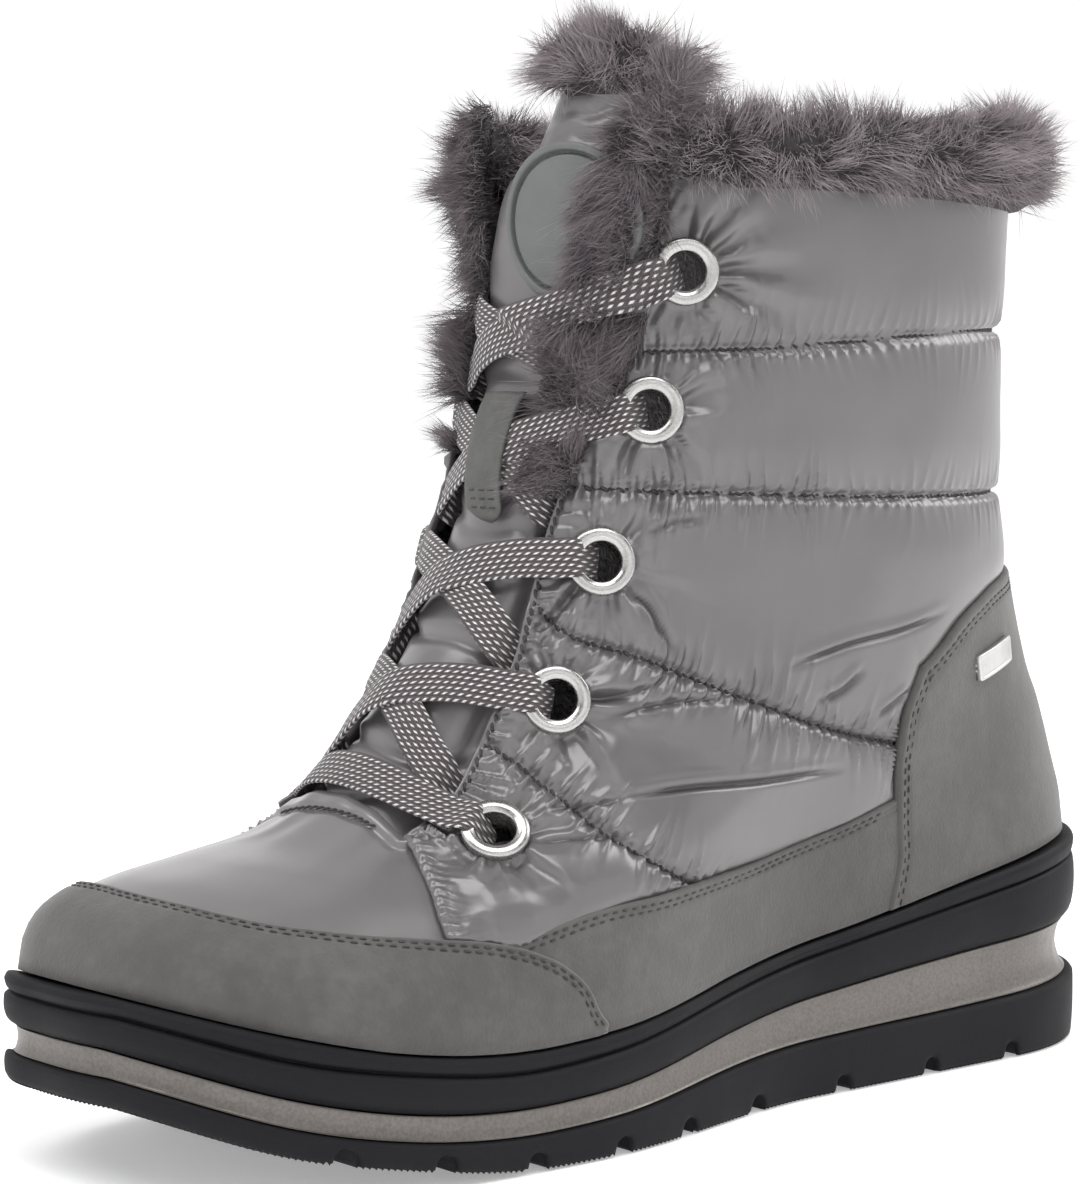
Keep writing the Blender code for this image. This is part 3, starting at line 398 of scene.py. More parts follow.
def upper_surface(v, a):
    """Point of the lasted form at height share v, 0 at the sole and 1 at the collar, and angle a
    round the foot: the outline of that height, lifted from z_front to z_back along the foot and
    by its share of the sole's own rise."""
    v, a = np.broadcast_arrays(np.asarray(v, float), np.asarray(a, float))
    at = np.linspace(0, 1, len(UPPER_ROWS))
    c = {name: through(at, column, v) * (1 if name in FORM_SHARES else MM)
         for name, column in zip(UPPER_COLUMNS, np.array(UPPER_ROWS).T)}
    x, y = outline(c, a)
    share = (y - c["front"]) / (c["back"] - c["front"])
    toe, heel = band("midsole_top", c["front"]), band("midsole_top", c["back"])
    rise = band("midsole_top", y) - (toe + (heel - toe) * share)
    z = c["z_front"] + (c["z_back"] - c["z_front"]) * share + c["follow"] * rise
    return np.stack([x, y, z + np.clip(v - 1, 0, None) * TONGUE_RISE], -1)


def slopes(v, a):
    """Change of the form for one radian of a and for one share of v, from close differences."""
    small = 1e-3
    along = (upper_surface(v, a + small) - upper_surface(v, a - small)) / (2 * small)
    low, high = np.maximum(v - small, 0), np.minimum(v + small, 1.2)
    return along, (upper_surface(high, a) - upper_surface(low, a)) / (high - low)[..., None]


def unit(vectors):
    """Vectors divided by their lengths."""
    return vectors / np.linalg.norm(vectors, axis=-1, keepdims=True)


def stand(v, a):
    """Point of the form and its outward unit normal, the cross product of its two slopes."""
    v, a = np.broadcast_arrays(np.asarray(v, float), np.asarray(a, float))
    return upper_surface(v, a), unit(np.cross(*slopes(v, a)))


def raised(v, a, height):
    """Point at a height in mm above the form, along its normal."""
    point, normal = stand(v, a)
    return point + normal * np.asarray(height)[..., None] * MM


def throat(v):
    """Half opening of the throat at the height share v, in radians."""
    return np.radians(through(THROAT_V, THROAT_DEG, v))


def panel_front(v):
    """Angle of a quarter's front edge: the vamp seam below the throat, the throat's edge above."""
    seam = np.radians(through(VAMP_V, VAMP_DEG, v))
    return np.where(v < THROAT_BASE, seam, throat(v))


def bell(x, width=1.0):
    """Bell curve exp(-(x / width)^2): 1 at 0 and gone at about twice the width."""
    return np.exp(-(x / width) ** 2)


def run_along(line):
    """Distance from a line's first point to each of its points, added up step by step."""
    return np.append(0, np.cumsum(np.linalg.norm(np.diff(line, axis=0), axis=1)))


def nearest(points, line):
    """Distance of each point from a line through space, and how far along it that place is: the
    nearest of the line's points, then the foot of the perpendicular on its tangent.  In mm."""
    run = run_along(line)
    tangent = unit(np.gradient(line, axis=0))
    flat = points.reshape(-1, 3)
    index = ((line ** 2).sum(1) - 2 * flat @ line.T).argmin(1)
    gap = flat - line[index]
    shift = (gap * tangent[index]).sum(1)
    shift = np.where((index == 0) | (index == len(line) - 1), np.clip(shift, -MM, MM), shift)
    distance = np.sqrt(np.maximum((gap ** 2).sum(1) - shift ** 2, 0))
    shape = points.shape[:-1]
    return distance.reshape(shape) / MM, (run[index] + shift).reshape(shape) / MM


def ripple(where, size, seed):
    """Smooth random height from -1 to 1: random values on a lattice of that size in metres, eased
    between its eight corners."""
    table = np.random.default_rng(seed).uniform(-1, 1, (32, 32, 32))
    cell = np.floor(where / size).astype(int)
    t = where / size - cell
    t = t * t * (3 - 2 * t)
    total = 0
    for corner in np.ndindex(2, 2, 2):
        weight = np.prod(np.where(corner, t, 1 - t), axis=-1)
        total = total + weight * table[tuple(((cell + corner) % 32).T)].T
    return total


def waver(along, size, seed):
    """Smooth random value from -1 to 1 along a line: random values a size apart, eased between."""
    table = np.random.default_rng(seed).uniform(-1, 1, 512)
    cell = np.floor(along / size).astype(int)
    t = along / size - cell
    t = t * t * (3 - 2 * t)
    return table[cell % 512] * (1 - t) + table[(cell + 1) % 512] * t


def from_uv(tree):
    """The two UV coordinates of a piece, as sockets."""
    coordinates = node(tree, "UVMap", uv_map="UVMap").outputs["UV"]
    return node(tree, "SeparateXYZ", {"Vector": coordinates}).outputs


def nylon_finish(name, colour, roughness):
    """Satin coated nylon: grey with a metal-like gloss, faint clouds and soft small waves.  Its
    creases get painted shade, whose strength is the first UV coordinate."""
    made, tree, shader, where = finish_of(name, roughness, Metallic=.35, Coat_Weight=.3,
                                          Coat_Roughness=.15)
    clear = ramp(tree, noise(tree, where, 45, 4), (.15, shaded(colour, .9)), (.85, shaded(colour, 1.12)))
    # painted shade: the crease strength mixes the cloth's colour towards a near-black copy of it
    painted_crease_shade = from_uv(tree)[0]
    mixed = node(tree, "Mix", {0: painted_crease_shade, 6: clear, 7: shaded(colour, .16) + (1,)}, data_type="RGBA")
    weave = bump(tree, noise(tree, where, 3200, 1), .00002)
    dress(shader, mixed.outputs[2], None, bump(tree, noise(tree, where, 150, 2), .00008, .5, weave))
    return made


def slide(v, a, move):
    """Height share and angle of the place a small move in space away from (v, a): the move is
    split along the form's two slopes."""
    along, up = slopes(v, a)
    aa, au, uu = (along * along).sum(-1), (along * up).sum(-1), (up * up).sum(-1)
    ma, mu = (move * along).sum(-1), (move * up).sum(-1)
    spread = aa * uu - au * au
    return v + (mu * aa - ma * au) / spread, a + (ma * uu - mu * au) / spread


def beside(v, a, inset):
    """Line that runs beside the line (v, a) on the form, inset mm to its left as seen outside."""
    points, normal = stand(v, a)
    left = unit(np.cross(normal, np.gradient(points, axis=0)))
    return slide(v, a, left * inset * MM)


def spaced(v, a, pitch, start=.5):
    """Places along the line (v, a) at equal distances, in mm."""
    run = run_along(upper_surface(v, a)) / MM
    at = np.arange(start * pitch, run[-1] - .3 * pitch, pitch)
    return np.interp(at, run, v), np.interp(at, run, a)


def threads(v, a, height, slant=0.0):
    """Middle, direction and normal of each stitch at the places (v, a), turned by slant in degrees
    on the surface."""
    middle, normal = stand(v, a)
    middle = middle + normal * (np.asarray(height) * MM)[..., None]
    along = np.gradient(middle, axis=0)
    along = unit(along - normal * (along * normal).sum(1, keepdims=True))
    turn = np.radians(slant)
    return middle, along * np.cos(turn) + np.cross(normal, along) * np.sin(turn), normal


def stitches(name, runs, length, width, thick, finish):
    """Every stitch of some rows as one piece: a thread of six sides and four rings, its radius
    following a rounded profile along its length and its ends bent down into the cloth."""
    middle, along, normal = (np.concatenate(k) for k in zip(*runs))
    over = np.cross(normal, along)
    turn = np.radians(np.arange(0, 360, 60))
    at = np.array((-.5, -.3, .3, .5))[:, None]
    size = np.array((.35, 1, 1, .35))[:, None]
    dip = np.array((-.5, 0, 0, -.5))[:, None] * thick
    shape = np.stack([at * length + 0 * turn, size * np.cos(turn) * width / 2,
                      size * np.sin(turn) * thick / 2 + dip], -1).reshape(1, -1, 3) * MM
    points = middle[:, None] + shape @ np.stack([along, over, normal], 1)
    ring = quads(4, 6, wrap=True)
    caps = np.array([(0, 3, 2, 1), (0, 5, 4, 3), (18, 19, 20, 21), (18, 21, 22, 23)])
    faces = np.concatenate([ring, caps])
    faces = faces[None] + 24 * np.arange(len(middle))[:, None, None]
    return piece(name, points, faces, finish)


def cloudy_finish(name, roughness, cloud, dark, light, grain=None, **sockets):
    """Plain material: its colour runs from dark to light with the noise cloud, and its surface is
    bumped by grain, a second noise with its distance and strength."""
    made, tree, shader, where = finish_of(name, roughness, **sockets)
    normal = bump(tree, noise(tree, where, *grain[0]), *grain[1:]) if grain else None
    dress(shader, ramp(tree, noise(tree, where, *cloud), (.3, dark), (.7, light)), None, normal)
    return made


rise = np.linspace(0, 1, 115)[:, None]
across = np.linspace(-1, 1, 190)[None, :]
top = THROAT_BASE + THROAT_BOW * (1 - across ** 2)
v = HIDDEN_V + rise * (top - HIDDEN_V)
side_angle = np.radians(through(VAMP_V, VAMP_DEG, np.minimum(v, THROAT_BASE)) + 3.2 * (1 - rise ** 3))
a = across * side_angle
form = upper_surface(v, a)
from_top, _ = nearest(form, upper_surface(top[0], a[-1]))
from_side = (1 - np.abs(across)) * side_angle * 45
pull = bell(from_top, 16) * (.5 + .5 * np.cos(a * 30 + 2 * ripple(form, 12 * MM, 5)))
height = VAMP_TUCK * (eased(0, 9, from_side) - 1) + VAMP_WAVE * ripple(form, 26 * MM, 3)
height -= VAMP_PULL * pull
band_width = BAND_WIDTH - BAND_NARROW * eased(-.5, 1, across)
band_edge = eased(.5, -.5, from_top - band_width)
height += BAND_LIFT * band_edge * (1 - .8 * eased(1.6, 0, from_top))
height -= .45 * bell(from_top - band_width - .8, .9)
grid = raised(v, a, height)
hem = raised(v[-1:], a[-1:], height[-1:] + np.array((-.7, -1.8, -3.4))[:, None])
grid = np.concatenate([grid, hem])
# painted light: the same nylon as the quarters, made lighter by 1.22 for the vamp's brighter lit face
smooth_nylon_painted_light = nylon_finish("grey_smooth_nylon", shaded(NYLON, 1.22), .34)
piece("vamp", grid, quads(*grid.shape[:2]), smooth_nylon_painted_light, ["upper"], closed=False)
thread_finish = cloudy_finish("dark_thread", .7, (900, 2), (.022, .020, .021), (.062, .057, .059))
band_row = spaced(*beside(top[0, ::-1], a[-1, ::-1], band_width.T[::-1] + .5), 2.0)
band_row = tuple(k[3:-3] for k in band_row)
stitches("band_stitches", [threads(*band_row, .15, 28)], 2.1, .6, .5, thread_finish)

# ---------------------------------------------------------------- quarters
# Two quilted panels from the throat round to the heel: nylon over wadding, sewn down in channels.
# The stitching gathers the cloth into short pleats, and each eyelet pulls folds out around it.
EYELETS = ((.932, 39.8), (.834, 37.8), (.711, 37.8), (.559, 40.5), (.377, 42.8))
EYELET_OUTER, EYELET_BORE, EYELET_BARREL, EYELET_HOLE = 7.25, 4.15, 4.75, 5.15      # radii, mm
SEAMS = (
    # height shares of a sewn line, the degrees from the toe where they are, strength of its
    # pleats in mm along it, and their reach in mm
    ((.880, .878, .882, .886, .889, .889), (20, 40, 83, 102, 130, 180), (1.0, .9, .35, .2, .3, .2), 4.4),
    ((.776, .772, .764, .754, .741, .725, .716), (18, 31, 55, 77, 101, 135, 180),
     (1.0, 1.0, .6, .3, .2, .35, .2), 4.4),
    ((.684, .679, .645, .601, .553, .501, .413, .339, .300), (20, 24, 35, 53, 67, 80, 96.5, 110, 117),
     (.6, .7, .8, .95, 1.0, .95, .9, .9, .7), 4.8),
    ((.520, .511, .481, .423, .349, .283, .200, .150), (27, 32, 40, 50, 61, 70, 80.6, 87),
     (.5, .55, .6, .6, .7, .8, .9, .7), 4.2),
)
CREASE_DEEP, CREASE_NARROW, CREASE_SHADE = 1.5, .7, .55  # factors on the table, half width of shade
CREASES = {
    # side of the foot: lines of (height share, degrees), with depth and half width in mm
    1: ((((.549, 80), (.556, 88), (.561, 93), (.563, 105), (.576, 117)), .8, 1.1),
        (((.528, 49), (.535, 62), (.519, 75)), .7, 1.1),
        (((.486, 89), (.491, 94), (.519, 98)), .6, 1.2),
        (((.407, 57), (.396, 69), (.364, 84), (.319, 102)), .8, 1.1),
        (((.551, 46), (.558, 56), (.568, 61)), .5, .9),
        (((.417, 103), (.437, 106), (.450, 109)), .5, 1.0),
        (((.411, 46), (.404, 54), (.402, 61)), .5, .9),
        (((.349, 50), (.342, 56), (.331, 66)), .5, .9),
        (((.681, 45), (.663, 51), (.631, 55.5), (.600, 59.5)), .8, 1.3),
        (((.731, 45), (.740, 50), (.741, 57)), .5, 1.0)),
    -1: ((((.560, 76), (.566, 86), (.560, 96), (.556, 108)), .7, 1.2),
         (((.522, 50), (.530, 60), (.514, 70)), .6, 1.1),
         (((.400, 58), (.392, 72), (.355, 86), (.322, 98)), .8, 1.2),
         (((.455, 92), (.470, 98), (.500, 104)), .6, 1.2),
         (((.690, 46), (.668, 52), (.640, 56)), .7, 1.2),
         (((.345, 51), (.340, 57), (.330, 64)), .5, .9)),
}
TOE_DEG = (0, 14, 27, 37, 48, 56.4, 62, 66.3, 69.6, 71.3, 72.3)
TOE_TOP = (.187, .181, .175, .178, .180, .172, .152, .122, .078, .038, .02)
SIDE_DEG = (60, 65, 71, 82, 94, 104, 115)
SIDE_TOP = (.165, .182, .2, .194, .184, .192, .212)
COUNTER_V = (0, .1, .23, .33, .42, .5, .6)
COUNTER_DEG = (113.6, 115, 113, 110.7, 109.4, 111.4, 113)
COUNTER_SPAN = (0, .06, .13, .28, .5)
COUNTER_TOP = (.49, .545, .575, .591, .602)
PUFF, PUFF_ROUND = 2.5, 13.0            # height of a full channel and how far it rounds, mm
SEAM_LEVEL, SEAM_DEPTH = -.7, 1.0
PLEAT = 3.6                             # distance between two pleats, mm
LAP_PLEATS = (.6, 4.2, 2.4)             # strength, reach and pitch beside the vamp, mm
HEM_PLEATS = {1: (.9, 4.5, 2.9), -1: (.45, 4.5, 6.0)}   # the same beside the throat of each side
EYELET_FOLD, EYELET_REACH = 2.1, 8.5    # height of the folds round an eyelet and their reach, mm
CRUMPLE, CRUMPLE_REACH = 1.0, 24        # of the facing's fine crumple, mm
HEM_RISE = {1: 0, -1: 2.5}              # how far the throat's edge stands up, mm
QUARTER_GRID = {1: (245, 300), -1: (160, 200)}          # rows and columns of each side's cloth
CHAIN_PITCH, CHAIN_LENGTH, CHAIN_SLANT, HEM_PITCH = 1.8, 2.3, 26, 2.0   # mm, and degrees


def sewn(vs, degrees, side, count=300):
    """Height shares and angles along a line given by a few of its places."""
    d = np.linspace(degrees[0], degrees[-1], count)
    return through(degrees, vs, d), side * np.radians(d)


def rounded(x):
    """Quarter of a circle: 0 at 0, rising steeply and level from 1 on."""
    return np.sqrt(1 - (1 - np.clip(x, 0, 1)) ** 2)


def counter_edge(side):
    """Front edge of the heel counter from the sole up, then its top edge to the heel's middle."""
    v = np.linspace(0, COUNTER_TOP[0], 120)
    share = np.linspace(0, .5, 180)
    top = through(COUNTER_SPAN, COUNTER_TOP, share)
    start = np.radians(through(COUNTER_V, COUNTER_DEG, top))
    a = np.append(np.radians(through(COUNTER_V, COUNTER_DEG, v)), start + share * (2 * np.pi - 2 * start))
    return np.append(v, top), side * a


def under_leather(v, a):
    """True where the form is covered: below the top line of the rands or of the heel counter."""
    degrees = np.degrees(a)
    rand = np.where(degrees < 57, through(TOE_DEG, TOE_TOP, degrees), through(SIDE_DEG, SIDE_TOP, degrees))
    start = np.radians(through(COUNTER_V, COUNTER_DEG, v))
    share = np.clip((a - start) / (2 * np.pi - 2 * start), 0, .5)
    return (v < rand) | ((a > start) & (v < through(COUNTER_SPAN, COUNTER_TOP, share)))


def pleats(distance, along, strength, reach, pitch, seed):
    """Short folds square to a seam: strength * fold(s) * exp(-(d / reach)^1.5), where fold is a wave
    of uneven pitch with narrow crests, each crest of its own length and slant."""
    s = along + distance * .45 * waver(along, 14, seed + 1)
    phase = 2 * np.pi * s / pitch + 1.7 * waver(s, 2.6 * pitch, seed)
    crest = 2.2 * (.5 + .5 * np.cos(phase)) ** 3 - .6
    length = reach * (1 + .65 * waver(s, pitch, seed + 2))
    fade = np.exp(-(distance / length) ** 1.5) * eased(0, .9, distance)
    return strength * (1 + .45 * waver(s, 1.3 * pitch, seed + 3)) * crest * fade


def creased(v, a, side):
    """Height of the listed creases and their shade: a narrow dark groove with a low shoulder
    above it, both running out towards the line's ends."""
    form = upper_surface(v, a)
    height, shade = np.zeros(v.shape), np.zeros(v.shape)
    for points, depth, width in CREASES[side]:
        vs, degrees = np.array(points).T
        distance, along = nearest(form, upper_surface(*sewn(vs, degrees, side)))
        width = CREASE_NARROW * width
        total = along.max()
        taper = eased(0, .25 * total, along) * eased(total, .7 * total, along)
        above = v > through(degrees, vs, np.degrees(np.abs(a)))
        shoulder = bell(distance - 2.4 * width, 1.6 * width) * above
        height = height - CREASE_DEEP * taper * depth * (bell(distance, width) - .35 * shoulder)
        # painted shade: darkest on each crease's line and tapering out with it
        dark = np.minimum(1.2 * depth, 1) * taper * bell(distance, CREASE_SHADE)
        shade = np.maximum(shade, dark)
    return height, shade


def frame_of(axis):
    """Two unit vectors square to an axis, the first one level."""
    across = unit(np.cross([0, 0, 1], axis))
    return across, np.cross(axis, across)


def signed(x, power):
    """Power of a value's size, with the value's own sign."""
    return np.sign(x) * np.abs(x) ** power


def quilting(v, a, side):
    """Height of the quilted cloth above the form, in mm.  Each channel is a pillow that rounds up
    from its nearest seam or edge; pleats, eyelet folds, creases and a faint crumple are added."""
    form = upper_surface(v, a)
    height = np.full(v.shape, np.inf)
    folds = 0
    for k, (vs, degrees, strength, reach) in enumerate(SEAMS):
        line = upper_surface(*sewn(vs, degrees, side))
        distance, along = nearest(form, line)
        share = np.clip(along / (run_along(line)[-1] / MM), 0, 1)
        power = through(np.linspace(0, 1, len(strength)), strength, share)
        folds = folds + pleats(distance, along, power, reach, PLEAT, 40 * k + 7 * side + 100)
        height = np.minimum(height, distance)
    trough = SEAM_DEPTH * bell(height)
    full = rounded(height / PUFF_ROUND)

    edges = [upper_surface(*sewn(SIDE_TOP, SIDE_DEG, side)), upper_surface(*counter_edge(side)),
             upper_surface(*sewn(TOE_TOP[3:8], TOE_DEG[3:8], side))]
    edge = np.minimum.reduce([nearest(form, line)[0] for line in edges])
    full = full * (.3 + .7 * rounded(edge / 9))

    hem_v = np.linspace(THROAT_BASE, 1, 300)
    hem, hem_along = nearest(form, upper_surface(hem_v, side * throat(hem_v)))
    seam_v = np.linspace(HIDDEN_V, THROAT_BASE, 200)
    lap, lap_along = nearest(form, upper_surface(seam_v, side * panel_front(seam_v)))
    folds = folds + pleats(lap, lap_along, *LAP_PLEATS, 300 + side)
    folds = folds + pleats(np.maximum(hem - .8, 0), hem_along, *HEM_PLEATS[side], 320 + side)

    calm = eased(3, 15, hem) * (.35 + .65 * eased(2, 14, lap))
    for k, (share, degrees) in enumerate(EYELETS):
        centre, axis = stand(share, side * np.radians(degrees))
        gap = form - centre
        radius = np.linalg.norm(gap, axis=-1) / MM
        level, up = frame_of(axis)
        turn = (np.arctan2(gap @ up, gap @ level) / (2 * np.pi) + 1) * 64
        spoke = waver(turn + .5 * ripple(form, 4 * MM, 60 + k), 2.4, 80 + 5 * k + side)
        spoke = signed(spoke, .8)
        length = EYELET_REACH * (1 + .6 * waver(turn, 5.2, 90 + 5 * k + side))
        fade = np.exp(-(np.maximum(radius - 7.5, 0) / length) ** 1.3) * eased(6.2, 8.2, radius)
        folds = folds + EYELET_FOLD * spoke * fade
        calm = calm * eased(7, 17, radius)
    height = SEAM_LEVEL + (PUFF * full * calm + (1 - calm) * .95 * rounded(height / 3)) - trough

    folds = folds + creased(v, a, side)[0]
    crumple = np.abs(ripple(form * (1, 1, .8), 6.5 * MM, 11)) + .35 * np.abs(ripple(form, 3.8 * MM, 12))
    near = bell(np.minimum(hem, lap), CRUMPLE_REACH) * eased(1, 5, hem)
    height = height + folds + CRUMPLE * (.55 - crumple) * near + .4 * ripple(form, 17 * MM, 13)
    calm = eased(.3, 2.6, hem)
    height = height * (.25 + .75 * calm) - .2 * (1 - calm) - .5 * bell(hem - 1.1, .6)
    height = height + HEM_RISE[side] * bell(hem, 4.2) * (v > THROAT_BASE)
    lapped = eased(1.2, 0, lap) * (v < THROAT_BASE)
    height = height + .7 * bell(lap, 3) * (v < THROAT_BASE) - .8 * lapped
    return np.where(under_leather(v, np.abs(a)), np.minimum(height, -.4 - .7 * eased(0, 2, edge)), height)


def clear_of_eyelets(v, a, sides):
    """Cells of the grid (v, a) whose corners all lie outside the eyelets' holes."""
    form = upper_surface(v, a)
    clear = np.ones(v.shape, bool)
    for share, degrees in EYELETS:
        for side in sides:
            centre = upper_surface(share, side * np.radians(degrees))
            clear &= np.linalg.norm(form - centre, axis=-1) > EYELET_HOLE * MM
    cells = quads(*v.shape)
    return cells[clear.ravel()[cells].all(1)]


def quarter(side, rows, columns):
    """Grid of a quarter from its turned front hem to the middle of the heel, its cells, and the
    shade of its creases."""
    u = np.linspace(0, 1, columns)[None, :]
    v = np.linspace(HIDDEN_V, 1, rows)[:, None] + 0 * u
    front = panel_front(v)
    a = side * (front + u * (.78 + .22 * u) * (np.pi - front))
    height = quilting(v, a, side)
    turned = height[:, :1] + np.array((-1.9, -1.7, -1.1, -.45))
    turned_a = a[:, :1] + side * np.radians((3.2, 1.2, .25, 0))
    v = np.concatenate([v[:, :4], v], 1)
    a = np.concatenate([turned_a, a], 1)
    points = raised(v, a, np.concatenate([turned, height], 1))
    # painted shade of the creases, none under the leather; it goes to the cloth's material as its UV
    shade = creased(v, a, side)[1] * (~under_leather(v, np.abs(a)))
    return points, clear_of_eyelets(v, a, [side]), np.stack([shade, 0 * shade], -1)


nylon = nylon_finish("grey_satin_nylon", NYLON, .31)
for side, word in ((1, "outer"), (-1, "inner")):
    points, cells, shade = quarter(side, *QUARTER_GRID[side])
    piece("quarter_" + word, points, cells[:, ::side], nylon, ["upper"],
                    uv=shade, closed=False)
    chains = []
    for vs, degrees, _, _ in SEAMS:
        v, a = spaced(*sewn(vs, degrees, side), CHAIN_PITCH)
        shown = (~under_leather(v, np.abs(a))) & (np.abs(a) < np.pi * .999) & (np.abs(a) > throat(v) + .03)
        v, a = v[shown], a[shown]
        chains.append(threads(v, a, quilting(v, a, side) + .6, -CHAIN_SLANT * side))
    if side > 0:
        hem_v = np.linspace(THROAT_BASE + .015, .93, 400)
        v, a = spaced(hem_v, panel_front(hem_v) + np.radians(1.3), HEM_PITCH)
        chains.append(threads(v, a, quilting(v, a, side) + .25, CHAIN_SLANT))
    stitches(f"seam_stitches_{word}", chains, CHAIN_LENGTH, .75, .6, thread_finish)

# ---------------------------------------------------------------- rands and heel counter
# Thin nubuck-like leather over the lasted edge: one piece round the toe, one along each side and
# a tall counter round the heel.  Two rows of dark thread hold each upper edge.
LEATHER, LEATHER_UNDER = 1.7, -.4       # outer face and hidden inner face above the form, mm
EDGE_LIFT, EDGE_ROUND = .75, 1.0        # height of the cut edge and how far it rounds over, mm
RAND_ROWS_IN, COUNTER_ROWS_IN = (1.3, 2.4), (2.2, 3.6)      # stitched rows inside the edge, mm
STITCH_PITCH, STITCH_LENGTH, PRESS_WIDTH = 2.6, 1.55, .42       # the last of a pressed row, mm
RAND_GAP = .8                           # degrees between a side rand's end and the next piece
EDGE_STEPS = (0, .15, .35, .65, 1.0, 1.3, 1.6, 2.0, 2.4, 2.8, 3.2, 3.6, 4.0, 4.6, 5.6, 7.2, 9.5, 12.5)


def slab(name, outer, inner, finish, stands_for=()):
    """Closed sheet between two grids of the same size, joined along their four borders."""
    rows, columns = outer.shape[:2]
    number = np.arange(rows * columns).reshape(rows, columns)
    rim = np.concatenate([number[0], number[1:, -1], number[-1, -2::-1], number[-2:0:-1, 0]])
    border = np.stack([rim, np.roll(rim, -1), np.roll(rim, -1) + rows * columns,
                       rim + rows * columns], -1)
    cells = quads(rows, columns)
    faces = np.concatenate([cells, cells + rows * columns, border])
    return piece(name, np.concatenate([outer.reshape(-1, 3), inner.reshape(-1, 3)]), faces, finish,
                 stands_for)


def leather_sheet(name, v, a, line, rows_in, sunk=0.0, press=.28, waves=(.16, .06), thick=None):
    """Leather over the grid (v, a): its face rounds down to its edge line and is pressed in along
    the stitched rows beside it.  Without a thickness it reaches down to the form."""
    form = upper_surface(v, a)
    gap = nearest(form, upper_surface(*line))[0]
    height = EDGE_LIFT - sunk + (LEATHER - EDGE_LIFT) * rounded(gap / EDGE_ROUND)
    for row in rows_in:
        height = height - press * bell(gap - row, PRESS_WIDTH)
    height = height + waves[0] * ripple(form, 14 * MM, 31) + waves[1] * ripple(form, 4 * MM, 32)
    under = height - thick if thick else np.full(v.shape, LEATHER_UNDER)
    slab(name + "_leather", raised(v, a, height), raised(v, a, under), leather, [name])


def stitch_rows(line, rows_in, height=1.62):
    """Stitches of the rows beside an edge line, which runs with the leather on its left."""
    return [threads(*spaced(*beside(*line, row), STITCH_PITCH, .5 + .5 * k), height)
            for k, row in enumerate(rows_in)]


leather, tree, shader, where = finish_of("taupe_nubuck", .72, Sheen_Weight=.25, Sheen_Roughness=.5)
cloud = noise(tree, where, 38, 5, .6)
mottle = noise(tree, where, 260, 4, .6)
grain = noise(tree, where, 1400, 3, .6)
both = node(tree, "Math", {0: cloud, 1: mottle}, operation="ADD")
dress(shader, ramp(tree, levels(tree, both.outputs[0], .65, 1.35, 0, 1), (0, (.050, .047, .045)),
                   (.5, (.072, .068, .065)), (1, (.106, .100, .095))),
      levels(tree, mottle, .3, .7, .6, .8), bump(tree, grain, .00016, .8, bump(tree, mottle, .0003, .5)))

edge_down = np.array(EDGE_STEPS + (16, 20, 24, 28.5)) / 28.5
a = np.radians(np.linspace(-TOE_DEG[-1], TOE_DEG[-1], 250))[None, :]
top = through(np.radians(TOE_DEG), TOE_TOP, np.abs(a))
v = top * (1 - edge_down[:, None])
a = a + 0 * v
toe_line = (top[0, ::-1], a[0, ::-1])
leather_sheet("toe_rand", v, a, toe_line, RAND_ROWS_IN)
sewing = stitch_rows(toe_line, RAND_ROWS_IN)

for side, word in ((1, "outer"), (-1, "inner")):
    share = np.linspace(0, 1, 150)[None, :]
    degrees = SIDE_DEG[0] + share * (SIDE_DEG[-1] - SIDE_DEG[0])
    v = through(SIDE_DEG, SIDE_TOP, degrees) * (1 - edge_down[:, None])
    start = through(TOE_TOP[:4:-1], TOE_DEG[:4:-1], np.minimum(v, TOE_TOP[5])) + RAND_GAP - 2.2
    end = through(COUNTER_V, COUNTER_DEG, v) + 1.5
    a = side * np.radians(start + share * (end - start))
    line = (v[0], a[0]) if side < 0 else (v[0, ::-1], a[0, ::-1])
    leather_sheet("side_rand_" + word, v, a, line, RAND_ROWS_IN, .6, .25, (.15, 0), 1.3)
    inside = (v[0] > 0) & (np.degrees(np.abs(a[0])) < COUNTER_DEG[2] - 2.0)
    line = tuple(k[inside if side < 0 else inside[::-1]] for k in line)
    sewing += stitch_rows(line, RAND_ROWS_IN, 1.0)

share = eased(-.35, 1.35, np.linspace(0, 1, 230))
share = ((share - share[0]) / (share[-1] - share[0]))[None, :]
drop = np.append(np.array(EDGE_STEPS), np.linspace(15, 78, 28)) / 78
top = through(COUNTER_SPAN, COUNTER_TOP, np.minimum(share, 1 - share))
v = top * (1 - drop[:, None])
start = np.radians(through(COUNTER_V, COUNTER_DEG, v))
a = start + share * (2 * np.pi - 2 * start)
outer_v, outer_a = counter_edge(1)
whole = (np.append(outer_v, outer_v[-2::-1]), np.append(outer_a, 2 * np.pi - outer_a[-2::-1]))
whole = tuple(k[::-1] for k in whole)
leather_sheet("heel_counter", v, a, whole, COUNTER_ROWS_IN)
sewing += stitch_rows(whole, COUNTER_ROWS_IN)
stitches("rand_stitches", sewing, STITCH_LENGTH, .42, .4, thread_finish)

# ---------------------------------------------------------------- heel plate
# A small blank plate of brushed steel with a raised border, riveted from behind to the outer
# side of the counter.  It is bent only a little, so its ends stand off the round heel.
PLATE_V, PLATE_DEG, PLATE_TILT = .45, 132.5, 13
PLATE_LENGTH, PLATE_WIDTH, PLATE_SEAT, PLATE_BEND = 17.0, 6.2, .4, 70   # mm
PLATE_CORNER = 24                       # power of its outline: the higher, the sharper the corners
PLATE_PROFILE = (
    # inset and height above the leather, mm
    (0, -.4), (0, .3), (0, .62), (.06, .8), (.2, .88), (.5, .88), (.66, .86), (.76, .76), (.9, .74),
    (1.5, .74), (3.08, .74),
)


